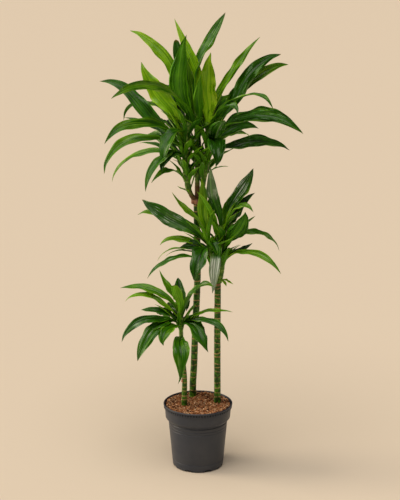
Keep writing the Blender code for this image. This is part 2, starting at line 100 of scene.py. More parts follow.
class Slot(Enum):
    """The record's material slots."""

    PLASTIC = "charcoal_plastic"
    BARK = "bark_and_coir"
    GREEN_CANE = "green_cane"
    PALE_CANE = "pale_cane"
    LEAF = "leaf_green"


class Look(Enum):
    """A blade's share of young green, and of grey wax with painted glints; past 1.6 painted sheen hazes it
    all over.
    """

    LIME = (0.76, 0.0)
    FRESH = (0.58, 0.03)
    GROWN = (0.40, 0.05)
    DEEP = (0.16, 0.05)
    BLACK = (0.0, 0.0)
    OLIVE = (0.52, 0.10)
    DULL = (0.28, 0.25)
    GREY = (0.26, 0.80)
    SILVER = (0.22, 1.6)
    PEARL = (0.26, 2.05)
    WHITE = (0.26, 2.4)


def srgb(code: str) -> Colour:
    """Turns an sRGB hex value into a linear colour.

    Args:
        code: Six hex digits after a hash sign.

    Returns:
        Linear red, green and blue, and full alpha.
    """
    shares = [int(code[k : k + 2], 16) / 255 for k in (1, 3, 5)]
    linear = [s / 12.92 if s <= 0.04045 else ((s + 0.055) / 1.055) ** 2.4 for s in shares]
    return (*linear, 1.0)


def ease(value: float) -> float:
    """A smooth step from 0 to 1."""
    value = min(1.0, max(0.0, value))
    return value * value * (3.0 - 2.0 * value)


def level(degrees: float) -> Vector:
    """The level direction at this heading: 0 right, 90 back, 180 left, 270 front."""
    return Vector((math.cos(math.radians(degrees)), math.sin(math.radians(degrees)), 0.0))


def feed(node: bpy.types.Node, inputs: dict) -> None:
    """Sets or links a node's inputs.

    Args:
        node: The node.
        inputs: For each input, by name or number, a value, an output that feeds it, or a node
            whose first live output feeds it.
    """
    for key, value in inputs.items():
        named = [socket for socket in node.inputs if socket.enabled and socket.name == key]
        socket = named[0] if named else node.inputs[key]
        if isinstance(value, bpy.types.Node):
            value = next(output for output in value.outputs if output.enabled)
        if isinstance(value, bpy.types.NodeSocket):
            node.id_data.links.new(value, socket)
        else:
            socket.default_value = value


def add_node(
    tree: bpy.types.NodeTree, kind: str, inputs: dict | None = None, **settings: object
) -> bpy.types.Node:
    """Adds one node with its settings and links.

    Args:
        tree: The node tree that it goes into.
        kind: The node's type, after "ShaderNode".
        inputs: Its inputs, as feed takes them.
        **settings: The node's own properties.

    Returns:
        The new node.
    """
    node = tree.nodes.new("ShaderNode" + kind)
    for name, value in settings.items():
        setattr(node, name, value)
    feed(node, inputs or {})
    return node


def graded(add: Adder, value: bpy.types.Node, shades: tuple[str, ...]) -> bpy.types.Node:
    """Runs a value from 0 to 1 through a row of colours.

    Args:
        add: Adds a node to the material.
        value: The node that gives the value.
        shades: The colours, evenly spaced.

    Returns:
        The node that gives the colour.
    """
    steps = len(shades) - 1
    colour = srgb(shades[0])
    for k, code in enumerate(shades[1:]):
        share = add("MapRange", {"Value": value, "From Min": k / steps, "From Max": (k + 1) / steps})
        colour = add("Mix", {"Factor": share, "A": colour, "B": srgb(code)}, data_type="RGBA")
    return colour


def new_material(name: str, **uniform: float | Colour) -> tuple[bpy.types.Material, Adder, bpy.types.Node]:
    """Starts a material with its uniform values set on the shader itself.

    Args:
        name: The material's name.
        **uniform: Shader inputs, with underscores for spaces.

    Returns:
        The material, add_node for its own tree, and its shader.
    """
    material = bpy.data.materials.new(name)
    material.use_nodes = True
    shader = material.node_tree.nodes["Principled BSDF"]
    feed(shader, {socket.replace("_", " "): value for socket, value in uniform.items()})
    return material, partial(add_node, material.node_tree), shader


def new_mesh(name: str, bm: bmesh.types.BMesh) -> bpy.types.Mesh:
    """Keeps a bmesh as a mesh of this name, and frees it."""
    mesh = bpy.data.meshes.new(name)
    bm.to_mesh(mesh)
    bm.free()
    return mesh


def show(name: str, data: bpy.types.ID) -> bpy.types.Object:
    """Adds an object of this name to the scene, around its mesh, lamp or camera."""
    shown = bpy.data.objects.new(name, data)
    bpy.context.scene.collection.objects.link(shown)
    return shown


def finish_piece(
    name: str, bm: bmesh.types.BMesh, materials: list[bpy.types.Material], slot: Slot,
    stands_for: tuple[str, ...] = (), sharp: float = 40.0,
) -> bpy.types.Object:
    """Turns a bmesh into a shown piece on the root body.

    Args:
        name: The piece's name.
        bm: Its mesh, which is freed.
        materials: Its materials, in the order of its faces' numbers.
        slot: The record's slot for its finish, which only the log line names.
        stands_for: The CAD nodes that it stands for.
        sharp: The angle in degrees past which an edge shades sharp.

    Returns:
        The new object.
    """
    mesh = new_mesh(name, bm)
    mesh.shade_smooth()
    mesh.set_sharp_from_angle(angle=math.radians(sharp))
    for material in materials:
        mesh.materials.append(material)
    piece = show(name, mesh)
    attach(piece, "root")
    if stands_for:
        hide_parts(*stands_for)
    LOG.info("%s: %d faces, in slot %s", name, len(mesh.polygons), slot.value)
    return piece


@dataclass(frozen=True)
class WaxyBlade:
    """Corn plant leaf, grown: a waxy cuticle over parallel veins.

    The wax gives long soft highlights that the veins break into lines; pale lines along the veins are
    part grey wax, part painted highlight, and the whitest blades carry a painted reflection between
    them. Young blades are a lighter, yellower green, old ones carry a grey waxy film, and feet and
    tips fade.
    """

    name: str
    shades: tuple[str, ...]
    wax_and_glint: str
    foot: str
    tip: str
    roughness: float
    coat: float
    vein_depth: float
    midrib_shift: float
    vein_width: float = 3.4 * MM
    band_width: float = 10 * MM
    streak_length: float = 190 * MM
    cloud_size: float = 45 * MM
    oldest_green: float = 0.14
    age_weight: float = 0.72
    pattern_weights: tuple[float, ...] = (0.75, 0.55, 0.35)

    def make(self) -> bpy.types.Material:
        """Builds the material.

        Returns:
            The finished material.
        """
        material, add, shader = new_material(
            self.name, Metallic=0.0, IOR=1.45, Coat_Weight=self.coat, Coat_Roughness=0.20,
            Specular_IOR_Level=0.2,
        )
        look = {key: add("Attribute", attribute_name=key).outputs["Fac"] for key in BLADE_MARKS}
        place = add("UVMap", uv_map=VEIN_MAP)
        # Veins stand about 1 mm apart; drawn 3.4 mm apart so that they show at this distance
        stripes = []
        for width in (self.vein_width, self.band_width):
            drawn = add("Mapping", {"Vector": place, "Scale": (1 / width, 1 / self.streak_length, 1.0)})
            stripes.append(add("TexNoise", {"Vector": drawn, "Scale": 1.0, "Detail": 2.0, "Roughness": 0.6}))
        cloud = add("TexNoise", {"Vector": place, "Scale": 1 / self.cloud_size, "Detail": 2.0})
        span = {
            key: add("MapRange", dict(zip(SPAN, row)))
            for key, *row in (
                ("midrib", look["edge"], 0.03, 0.10, self.midrib_shift, 0.0),
                ("margin", look["edge"], 0.84, 0.98, 0.0, 0.16),
                ("lines", stripes[0], 0.53, 0.68, 0.0, 1.0),
                ("patches", cloud, 0.47, 0.57, 0.06, 1.0),
                ("haze", look["wax_and_glint"], 1.6, 2.4, 0.0, 0.36),
                ("foot", look["share"], 0.0, 0.14, 0.6, 0.0),
                ("tip", look["share"], 0.97, 1.0, 0.0, 0.8),
                ("rough", stripes[0], 0.3, 0.7, self.roughness - 0.08, self.roughness + 0.10),
            )
        }
        # Each pattern adds its share to how far the green has yellowed, around what age gives
        start = self.oldest_green - 0.5 * sum(self.pattern_weights)
        green = add("Math", {0: look["tone"], 1: self.age_weight, 2: start}, operation="MULTIPLY_ADD")
        for pattern, weight in zip((*stripes, cloud), self.pattern_weights):
            green = add("Math", {0: pattern, 1: weight, 2: green}, operation="MULTIPLY_ADD")
        for key in ("midrib", "margin"):
            green = add("Math", {0: green, 1: span[key]}, operation="ADD")
        # Grey wax and painted highlights show in broken lines, and the whitest blades get a painted
        # reflection haze between them too
        broken = add("Math", {0: span["lines"], 1: span["patches"]}, operation="MULTIPLY")
        wax_and_glint_share = add("Math", {0: look["wax_and_glint"], 1: broken, 2: span["haze"]}, operation="MULTIPLY_ADD")
        dried = add("Math", {0: look["fade"], 1: span["tip"]}, operation="MULTIPLY")
        colour = graded(add, green, self.shades)
        for share, code in ((wax_and_glint_share, self.wax_and_glint), (span["foot"], self.foot), (dried, self.tip)):
            colour = add("Mix", {"Factor": share, "A": colour, "B": srgb(code)}, data_type="RGBA")
        veins = add("Math", {0: stripes[0], 1: stripes[1]}, operation="ADD")
        raised = add("Bump", {"Height": veins, "Strength": self.vein_depth, "Distance": 3.0 * MM})
        feed(shader, {"Base Color": colour, "Roughness": span["rough"], "Normal": raised})
        return material


@dataclass(frozen=True)
class CaneBark:
    """Corn plant cane, grown: smooth green bark with corky leaf scars.

    The bark gives a dull satin with lengthwise cracks and is brighter low down; each scar is a
    thin broken line of tan cork, and the pruned end is brown callus.
    """

    name: str
    dark: str
    light: str
    low: str
    scar: str
    callus: str
    patch_size: float = 11 * MM
    crack_width: float = 1.8 * MM
    crack_stretch: float = 0.10
    low_share: float = 0.65

    def make(self) -> bpy.types.Material:
        """Builds the material.

        Returns:
            The finished material.
        """
        material, add, shader = new_material(
            self.name, Metallic=0.0, IOR=1.45, Roughness=0.52, Specular_IOR_Level=0.4
        )
        mark = {key: add("Attribute", attribute_name=key).outputs["Fac"] for key in CANE_MARKS}
        place = add("TexCoord").outputs["Object"]
        height = add("SeparateXYZ", {"Vector": place}).outputs["Z"]
        scales = [share / self.crack_width for share in (1, 1, self.crack_stretch)]
        drawn = add("Mapping", {"Vector": place, "Scale": scales})
        cracks = add("TexNoise", {"Vector": drawn, "Scale": 1.0, "Detail": 2.0})
        patches = add("TexNoise", {"Vector": place, "Scale": 1 / self.patch_size, "Detail": 3.0})
        span = {
            key: add("MapRange", dict(zip(SPAN, row)))
            for key, *row in (
                ("low", height, 0.25, 0.75, self.low_share, 0.0),
                ("spots", patches, 0.40, 0.62, 0.0, 1.0),
                ("cracked", cracks, 0.50, 0.66, 0.0, 0.6),
                ("broken", patches, 0.36, 0.52, 0.15, 0.95),
            )
        }
        ring = add("Math", {0: mark["scar"], 1: span["broken"]}, operation="MULTIPLY")
        light = add(
            "Mix", {"Factor": span["low"], "A": srgb(self.light), "B": srgb(self.low)}, data_type="RGBA"
        )
        brown = graded(add, cracks, (self.dark, self.callus, self.callus, self.scar))
        colour = srgb(self.dark)
        for share, coat in (
            (span["spots"], light), (span["cracked"], srgb(self.dark)), (ring, srgb(self.scar)),
            (mark["callus"], brown),
        ):
            colour = add("Mix", {"Factor": share, "A": colour, "B": coat}, data_type="RGBA")
        raised = add("Bump", {"Height": cracks, "Strength": 0.5, "Distance": 0.8 * MM})
        feed(shader, {"Base Color": colour, "Normal": raised})
        return material


@dataclass(frozen=True)
class MouldedPolypropylene:
    """Recycled polypropylene, injection moulded: a dark grey satin.

    The mould's fine spark texture scatters the light into a broad soft sheen, and handling
    leaves thin smears of dust.
    """

    name: str
    grey: str
    dust: str
    roughness: float
    grain_size: float = 1.5 * MM
    smear_size: float = 60 * MM

    def make(self) -> bpy.types.Material:
        """Builds the material.

        Returns:
            The finished material.
        """
        material, add, shader = new_material(self.name, Metallic=0.0, IOR=1.49, Specular_IOR_Level=0.55)
        place = add("TexCoord").outputs["Object"]
        # Spark texture is about 0.1 mm; drawn at 1.5 mm so that it shows at this distance
        grain = add("TexNoise", {"Vector": place, "Scale": 1 / self.grain_size, "Detail": 1.0})
        smears = add("TexNoise", {"Vector": place, "Scale": 1 / self.smear_size, "Detail": 4.0})
        dusty, rough = (
            add("MapRange", dict(zip(SPAN, row)))
            for row in (
                (smears, 0.35, 0.65, 0.02, 0.14),
                (smears, 0.3, 0.7, self.roughness - 0.06, self.roughness + 0.06),
            )
        )
        colour = add("Mix", {"Factor": dusty, "A": srgb(self.grey), "B": srgb(self.dust)}, data_type="RGBA")
        raised = add("Bump", {"Height": grain, "Strength": 0.18, "Distance": 0.3 * MM})
        feed(shader, {"Base Color": colour, "Roughness": rough, "Normal": raised})
        return material


@dataclass(frozen=True)
class BarkSubstrate:
    """Pine bark and coir, shredded: dull red-brown chips over dark fines.

    Each chip has its own shade, from fresh orange-tan to damp near-black, and a fibrous surface.
    """

    name: str
    shades: tuple[str, ...]
    by_chip: bool
    fibre_size: float = 2.0 * MM
    # Near-black painted shade for the fill low in the pot
    painted_low_shade: str = "#040302"

    def make(self) -> bpy.types.Material:
        """Builds the material.

        Returns:
            The finished material.
        """
        material, add, shader = new_material(self.name, Metallic=0.0, IOR=1.45, Roughness=0.92)
        place = add("TexCoord").outputs["Object"]
        height = add("SeparateXYZ", {"Vector": place}).outputs["Z"]
        fibres = add("TexNoise", {"Vector": place, "Scale": 1 / self.fibre_size, "Detail": 3.0})
        value = add("Attribute", attribute_name="shade").outputs["Fac"] if self.by_chip else fibres
        # Low in the pot the fill is painted near-black as shade, so nothing shows of it behind the drain
        # slots
        bright, low_shade = (
            add("MapRange", dict(zip(SPAN, row)))
            for row in ((fibres, 0.3, 0.7, 0.70, 1.25), (height, 0.01, 0.03, 1.0, 0.0))
        )
        colour = add("HueSaturation", {"Value": bright, "Color": graded(add, value, self.shades)})
        colour = add("Mix", {"Factor": low_shade, "A": colour, "B": srgb(self.painted_low_shade)}, data_type="RGBA")
        raised = add("Bump", {"Height": fibres, "Strength": 0.6, "Distance": 0.8 * MM})
        feed(shader, {"Base Color": colour, "Normal": raised})
        return material


@dataclass(frozen=True)
class PlainFloor:
    """Limewashed board, rolled: a plain pale beige with no gloss."""

    name: str
    colour: str

    def make(self) -> bpy.types.Material:
        """Builds the material."""
        colour = srgb(self.colour)
        return new_material(self.name, Base_Color=colour, Roughness=0.95, Specular_IOR_Level=0.1)[0]


# The pale wax colour of each skin is also the colour of its painted highlights and reflections
UPPER_SKIN = WaxyBlade(
    name="waxed_leaf_upper", shades=("#091f00", "#2f6a01", "#80b60e", "#c2e236"), wax_and_glint="#e4efe6",
    foot="#4f7420", tip="#8a6a2c", roughness=0.34, coat=0.24, vein_depth=0.5, midrib_shift=-0.14,
)
UNDER_SKIN = WaxyBlade(
    name="waxed_leaf_under", shades=("#0b2400", "#2f6e03", "#66ac10", "#9ad42c"), wax_and_glint="#b4c8b0",
    foot="#5f7f2c", tip="#8a6a2c", roughness=0.46, coat=0.08, vein_depth=0.8, midrib_shift=0.16,
)
DARK_CANE = CaneBark(
    name="green_cane_bark", dark="#1d440a", light="#447818", low="#66ae1a", scar="#d0a070", callus="#a8745a",
)
PALE_BARK = CaneBark(
    name="pale_cane_bark", dark="#2c5a0e", light="#5c9220", low="#66a024", scar="#c8a070", callus="#d09878",
)
SHOOT_BARK = CaneBark(
    name="young_shoot_bark", dark="#4c7c26", light="#94b850", low="#94b850", scar="#34481a", callus="#6e4c30",
)
POT_PLASTIC = MouldedPolypropylene(
    name="recycled_polypropylene", grey="#27303f", dust="#6c6a68", roughness=0.44,
)
# Near-black painted shade, put in the drain slots and in the notch behind the lip's ribs
GAP_SHADE_PLASTIC = MouldedPolypropylene(
    name="painted_gap_shade", grey="#060708", dust="#0c0c0c", roughness=0.80,
)
BARK_CHIPS = BarkSubstrate(
    name="pine_bark_chips", shades=("#2c190c", "#6e3e20", "#b47346", "#dba06c", "#f7d3aa"), by_chip=True,
)
DARK_FINES = BarkSubstrate(
    name="coir_fines", shades=("#1c1008", "#472814", "#784a2a", "#95643c"), by_chip=False,
)
FLOOR = PlainFloor(name="limewashed_floor", colour="#e6d8c4")


@dataclass(frozen=True)
class Leaf:
    """One blade, given by its foot on the shoot, its tip and the slopes at both.

    foot is the height of its foot above the floor, turn the heading of its tip in degrees,
    reach and rise the level and upright distance from foot to tip, and start and end the slopes
    there in degrees. lean rolls the blade about its own length, spring is how far the two slopes
    carry, as a share of its chord, twist is how much further it has rolled at its tip, and blunt
    shapes its tip, from -1 for drawn out, over 0, to 1 for rounded.
    """

    look: Look
    foot: float
    turn: float
    reach: float
    rise: float
    start: float
    end: float
    width: float
    lean: float = 0.0
    spring: float = 0.42
    twist: float = 0.0
    blunt: float = 0.0


@dataclass(frozen=True)
class Shoot:
    """A leafy shoot: the points of its axis, its radius at its foot, its blades and its sheaths.

    brown_to is the height up to which its bark is callus, and leafy_from where its sheaths start.
    """

    path: tuple[Point, ...]
    radius: float
    leaves: tuple[Leaf, ...]
    brown_to: float = 0.0
    leafy_from: float = 9.0


@dataclass(frozen=True)
class Filler:
    """A kind of small blade that crowds a shoot between its long ones.

    reach, rise and width each hold a size, how much it gains from the lowest blade to the
    highest, and how much it gains through each run of four.
    """

    looks: tuple[Look, ...]
    reach: Point
    rise: Point
    width: Point
    start: float
    end: float

    def crowd(self, low: float, high: float, count: int, first: float) -> tuple[Leaf, ...]:
        """Sets blades up a shoot, each turned by the golden angle from the one before.

        Args:
            low: The height of the first foot.
            high: The height of the last foot.
            count: How many there are.
            first: The heading of the first.

        Returns:
            The blades.
        """
        leaves = []
        for k in range(count):
            share, more = k / (count - 1), k % 4 / 3
            reach, rise, width = (
                size + gain * share + stagger * more
                for size, gain, stagger in (self.reach, self.rise, self.width)
            )
            look, foot = self.looks[k % len(self.looks)], low + (high - low) * share
            turn = first + GOLDEN_TURN * k
            leaves.append(Leaf(look, foot, turn, reach, rise, self.start, self.end, width))
        return tuple(leaves)


LEAF_BASES = Filler(
    looks=(Look.OLIVE, Look.GROWN, Look.FRESH, Look.DEEP, Look.OLIVE), reach=(0.055, 0.0, 0.045),
    rise=(0.108, 0.030, -0.035), width=(0.015, 0.0, 0.008), start=72.0, end=38.0,
)
CLASPING = Filler(
    looks=(Look.FRESH,), reach=(0.045, 0.015, 0.0), rise=(0.085, 0.035, 0.0), width=(0.028, 0.0, 0.0),
    start=68.0, end=55.0,
)
TALL_LEFT = Shoot(
    path=((-0.012, 0.074, 0.9363), (-0.030, 0.070, 0.962), (-0.040, 0.068, 1.02), (-0.043, 0.062, 1.09),
          (-0.030, 0.060, 1.20)),
    radius=0.0100, leafy_from=0.955, brown_to=0.944,
    leaves=(
        Leaf(Look.DEEP, 1.18, 118, 0.092, 0.29, 90, 74, 0.036, blunt=1.0),
        Leaf(Look.DEEP, 1.16, 235, 0.14, -0.08, 35, -85, 0.054, spring=0.5),
        Leaf(Look.LIME, 1.15, 150, 0.185, 0.242, 46, 58, 0.06, -45, 0.35),
        Leaf(Look.DEEP, 1.12, 160, 0.312, 0.212, 34, 4, 0.052, -48, 0.38),
        Leaf(Look.DULL, 1.15, 145, 0.27, 0.035, 66, -80, 0.034, 10),
        Leaf(Look.GROWN, 1.13, 213, 0.31, 0.027, 45, -58, 0.044, -38, 0.4),
        Leaf(Look.GROWN, 1.11, 205, 0.3, -0.058, 38, -75, 0.04, -30),
        Leaf(Look.GROWN, 1.055, 167, 0.26, -0.07, 42, -72, 0.034, -25),
        Leaf(Look.GROWN, 1.08, 150, 0.18, 0.038, 18, -5, 0.02, -20),
        Leaf(Look.DEEP, 1.08, 136, 0.3, 0.107, 34, 2, 0.026, -30),
        Leaf(Look.GREY, 1.08, 235, 0.22, -0.078, 45, -85, 0.034, -12),
        Leaf(Look.DEEP, 1.07, 240, 0.16, -0.012, 45, -65, 0.04, -15),
        Leaf(Look.GROWN, 0.99, 228, 0.17, 0.03, 62, -45, 0.03, -10),
        Leaf(Look.FRESH, 0.95, 222, 0.06, 0.042, 58, 42, 0.016),
        Leaf(Look.GROWN, 1.17, 98, 0.22, 0.208, 70, 20, 0.046),
        Leaf(Look.DEEP, 1.15, 107, 0.27, 0.14, 60, -12, 0.046),
        Leaf(Look.GROWN, 1.12, 120, 0.3, 0.105, 45, -15, 0.046, -20),
        Leaf(Look.DEEP, 1.09, 107, 0.31, 0.045, 38, -35, 0.046),
        Leaf(Look.GROWN, 1.07, 127, 0.27, 0.036, 30, -25, 0.044, -20),
        Leaf(Look.DEEP, 1.05, 102, 0.25, 0.0, 35, -45, 0.042),
    )
    + CLASPING.crowd(1.00, 1.12, 3, 250),
)
TALL_CENTRE = Shoot(
    path=((-0.002, 0.084, 0.9363), (-0.002, 0.088, 1.04), (-0.004, 0.086, 1.14), (-0.006, 0.085, 1.25)),
    radius=0.0092, leafy_from=1.02, brown_to=0.975,
    leaves=(
        Leaf(Look.LIME, 1.21, 150, 0.255, 0.29, 60, 24, 0.042, -40, 0.38, blunt=0.2),
        Leaf(Look.GROWN, 1.18, 150, 0.03, 0.235, 80, 95, 0.04, -55),
        Leaf(Look.DEEP, 1.19, 110, 0.1, 0.255, 85, 72, 0.04),
        Leaf(Look.LIME, 1.2, 125, 0.13, 0.337, 95, 52, 0.036, -30),
        Leaf(Look.DULL, 1.2, 56, 0.172, 0.356, 103, 46, 0.046, -45, 0.46, 90, 0.25),
        Leaf(Look.GROWN, 1.17, 220, 0.05, 0.326, 56, 102, 0.062, 50),
        Leaf(Look.OLIVE, 1.21, 225, 0.37, 0.103, 46, -34, 0.046, -40, 0.38),
        Leaf(Look.FRESH, 1.15, 290, 0.03, 0.22, 86, 86, 0.034),
        Leaf(Look.GROWN, 1.2, 84, 0.24, 0.12, 72, -20, 0.046),
        Leaf(Look.DEEP, 1.16, 94, 0.31, 0.03, 60, -45, 0.046),
        Leaf(Look.GROWN, 1.13, 88, 0.29, -0.045, 45, -60, 0.044),
    )
    + CLASPING.crowd(1.04, 1.14, 2, 270),
)
TALL_RIGHT = Shoot(
    path=((0.007, 0.080, 0.9363), (0.016, 0.080, 0.975), (0.024, 0.078, 1.02), (0.036, 0.072, 1.10),
          (0.030, 0.068, 1.20)),
    radius=0.0092, leafy_from=1.0,
    leaves=(
        Leaf(Look.LIME, 1.16, 88, 0.035, 0.27, 74, 94, 0.066, 5),
        Leaf(Look.FRESH, 1.17, 36, 0.224, 0.304, 68, 34, 0.032, 20, 0.38),
        Leaf(Look.DEEP, 1.15, 28, 0.28, 0.27, 52, 16, 0.05, 38, 0.38, blunt=0.3),
        Leaf(Look.GROWN, 1.14, 30, 0.32, 0.238, 46, 0, 0.042, 46, 0.38, blunt=0.3),
        Leaf(Look.GROWN, 1.17, 318, 0.28, 0.102, 52, -62, 0.03, -20, 0.4, 50),
        Leaf(Look.GREY, 1.17, 305, 0.18, 0.082, 50, -50, 0.038, 20),
        Leaf(Look.DEEP, 1.13, 336, 0.332, 0.051, 50, -46, 0.06, 42),
        Leaf(Look.DEEP, 1.09, 15, 0.29, 0.008, 25, -22, 0.048, 40, 0.38),
        Leaf(Look.GREY, 1.1, 289, 0.14, 0.134, 60, 45, 0.058, blunt=0.4),
        Leaf(Look.DEEP, 1.12, 24, 0.19, 0.048, 45, -20, 0.046, 40),
        Leaf(Look.DEEP, 1.13, 281, 0.17, -0.05, 22, -82, 0.062, spring=0.45),
        Leaf(Look.GROWN, 1.02, 325, 0.09, 0.04, 40, 10, 0.016),
        Leaf(Look.DEEP, 1.17, 77, 0.22, 0.09, 60, -10, 0.046),
        Leaf(Look.GROWN, 1.15, 67, 0.27, 0.105, 46, -5, 0.046, 15),
        Leaf(Look.DEEP, 1.13, 80, 0.3, 0.079, 45, -25, 0.046),
        Leaf(Look.GROWN, 1.1, 58, 0.28, 0.016, 20, -18, 0.044, 20),
        Leaf(Look.DEEP, 1.07, 80, 0.29, 0.0, 32, -40, 0.044),
    )
    + CLASPING.crowd(1.03, 1.11, 2, 240),
)
MIDDLE_LEFT = Shoot(
    path=((0.063, 0.012, 0.6553), (0.054, 0.008, 0.690), (0.045, 0.004, 0.73), (0.036, 0.000, 0.79),
          (0.035, -0.002, 0.85)),
    radius=0.0088, leafy_from=0.7,
    leaves=(
        Leaf(Look.SILVER, 0.8, 160, 0.244, 0.128, 30, 25, 0.054, -58, 0.38, blunt=0.2),
        Leaf(Look.GROWN, 0.79, 148, 0.288, 0.08, 38, -16, 0.04, -35, 0.36),
        Leaf(Look.LIME, 0.82, 148, 0.145, 0.14, 55, 52, 0.024, -15, 0.4),
        Leaf(Look.FRESH, 0.81, 130, 0.03, 0.212, 82, 88, 0.038, -30),
        Leaf(Look.DEEP, 0.8, 300, 0.06, -0.03, 50, -60, 0.036, spring=0.5),
        Leaf(Look.DEEP, 0.78, 245, 0.112, -0.084, 22, -80, 0.06, spring=0.45),
        Leaf(Look.BLACK, 0.78, 165, 0.1, 0.005, 25, 10, 0.042, -40),
        Leaf(Look.FRESH, 0.775, 160, 0.18, 0.0, 14, -50, 0.03, -30, 0.4),
        Leaf(Look.FRESH, 0.765, 168, 0.18, -0.035, 12, -58, 0.016, spring=0.4),
        Leaf(Look.GREY, 0.75, 210, 0.24, -0.04, 6, -50, 0.025, -15, 0.38),
        Leaf(Look.GROWN, 0.75, 165, 0.155, -0.005, 15, -35, 0.016),
        Leaf(Look.GROWN, 0.82, 82, 0.14, 0.135, 70, 30, 0.038),
        Leaf(Look.DEEP, 0.79, 140, 0.185, 0.036, 32, -18, 0.04, -30),
        Leaf(Look.GROWN, 0.76, 84, 0.2, -0.045, 35, -60, 0.042),
    )
    + CLASPING.crowd(0.71, 0.77, 3, 210),
)
MIDDLE_RIGHT = Shoot(
    path=((0.073, 0.018, 0.6553), (0.082, 0.018, 0.695), (0.086, 0.018, 0.74), (0.083, 0.016, 0.79),
          (0.076, 0.014, 0.87)),
    radius=0.0088, leafy_from=0.705,
    leaves=(
        Leaf(Look.PEARL, 0.83, 225, 0.055, 0.235, 80, 86, 0.04, 20, blunt=0.3),
        Leaf(Look.LIME, 0.8, 215, 0.095, 0.19, 72, 62, 0.032, 10),
        Leaf(Look.SILVER, 0.83, 45, 0.16, 0.202, 60, 50, 0.048, 28, 0.4, blunt=0.2),
        Leaf(Look.DEEP, 0.82, 48, 0.17, 0.127, 58, 25, 0.038, 15),
        Leaf(Look.GROWN, 0.8, 312, 0.15, 0.132, 80, -35, 0.034, 30),
        Leaf(Look.BLACK, 0.8, 60, 0.14, 0.085, 75, 10, 0.04),
        Leaf(Look.GROWN, 0.775, 318, 0.108, 0.147, 46, 64, 0.058, -45),
        Leaf(Look.GROWN, 0.8, 40, 0.15, 0.07, 40, 30, 0.024),
        Leaf(Look.GREY, 0.79, 22, 0.215, -0.04, 48, -62, 0.03, 25),
        Leaf(Look.DEEP, 0.735, 35, 0.12, 0.045, 34, 40, 0.03, 10),
        Leaf(Look.OLIVE, 0.725, 325, 0.23, -0.002, 55, -50, 0.03, 20),
        Leaf(Look.WHITE, 0.79, 250, 0.085, -0.15, 40, -88, 0.042, spring=0.5),
        Leaf(Look.LIME, 0.666, 325, 0.05, -0.006, 25, -10, 0.014),
        Leaf(Look.LIME, 0.668, 300, 0.04, -0.014, 10, -30, 0.012),
        Leaf(Look.GROWN, 0.83, 66, 0.15, 0.11, 66, 20, 0.04),
        Leaf(Look.DEEP, 0.81, 82, 0.19, 0.035, 60, -25, 0.042),
        Leaf(Look.GROWN, 0.78, 70, 0.21, 0.015, 40, -22, 0.042, 15),
        Leaf(Look.DEEP, 0.75, 98, 0.2, -0.05, 38, -55, 0.042),
    )
    + CLASPING.crowd(0.71, 0.78, 3, 300),
)
SHORT_SHOOT = Shoot(
    path=((-0.057, -0.010, 0.4583), (-0.058, -0.010, 0.50), (-0.058, -0.011, 0.54), (-0.058, -0.012, 0.58)),
    radius=0.0078, leafy_from=0.47,
    leaves=(
        Leaf(Look.GROWN, 0.54, 160, 0.225, 0.083, 62, -15, 0.036, -25),
        Leaf(Look.FRESH, 0.53, 165, 0.2, 0.056, 52, -38, 0.026, -25),
        Leaf(Look.FRESH, 0.54, 138, 0.1, 0.15, 75, 58, 0.026, -15),
        Leaf(Look.LIME, 0.53, 240, 0.044, 0.139, 82, 66, 0.035, 12, blunt=1.0),
        Leaf(Look.DEEP, 0.54, 97, 0.08, 0.12, 88, 68, 0.036, blunt=0.5),
        Leaf(Look.GROWN, 0.53, 322, 0.14, 0.152, 68, 2, 0.05, 30),
        Leaf(Look.BLACK, 0.53, 76, 0.095, 0.006, 88, -60, 0.036, spring=0.75),
        Leaf(Look.DEEP, 0.52, 168, 0.14, 0.038, 38, -5, 0.036, -25),
        Leaf(Look.GREY, 0.515, 207, 0.225, -0.027, 38, -58, 0.036, -35),
        Leaf(Look.GREY, 0.5, 220, 0.185, -0.078, 42, -78, 0.048, -35),
        Leaf(Look.DEEP, 0.515, 213, 0.14, -0.018, 38, -50, 0.036, -35),
        Leaf(Look.GROWN, 0.505, 238, 0.12, -0.032, 30, -80, 0.05, -10),
        Leaf(Look.DULL, 0.468, 270, 0.138, -0.124, 16, -92, 0.064, spring=0.58, blunt=-0.6),
        Leaf(Look.DEEP, 0.51, 308, 0.14, -0.06, 40, -68, 0.058, 15, blunt=-0.3),
        Leaf(Look.DULL, 0.51, 322, 0.205, -0.014, 45, -62, 0.03, 25),
        Leaf(Look.FRESH, 0.52, 332, 0.195, 0.07, 32, 2, 0.021, 20),
        Leaf(Look.GROWN, 0.54, 110, 0.14, -0.01, 60, -45, 0.038),
        Leaf(Look.DEEP, 0.525, 122, 0.17, -0.016, 45, -30, 0.038, -15),
        Leaf(Look.GROWN, 0.51, 112, 0.17, -0.055, 40, -60, 0.04),
        Leaf(Look.DEEP, 0.5, 86, 0.16, -0.03, 35, -40, 0.036),
    ),
)


def axis_point(path: tuple[Point, ...], height: float) -> Vector:
    """The point of a path at this height.

    Args:
        path: Points from low to high.
        height: The height above the floor.

    Returns:
        The point, on the last stretch's line past its end.
    """
    for low, high in zip(path, path[1:]):
        if height <= high[2] or high is path[-1]:
            return Vector(low).lerp(Vector(high), (height - low[2]) / (high[2] - low[2]))
    return Vector(path[-1])


def stem_radius(shoot: Shoot, height: float) -> float:
    """The radius of a shoot's stem at this height."""
    low, high = shoot.path[0][2], shoot.path[-1][2]
    return shoot.radius * (1.0 - STEM_TAPER * (height - low) / (high - low))


@dataclass(frozen=True)
class Ring:
    """One ring of a cane or stem: its place, its tilt and how scarred or corky it is."""

    centre: Vector
    radius: float
    scar: float = 0.0
    callus: float = 0.0
    lumps: float = 0.0
    tilt: Vector = field(default_factory=Vector)


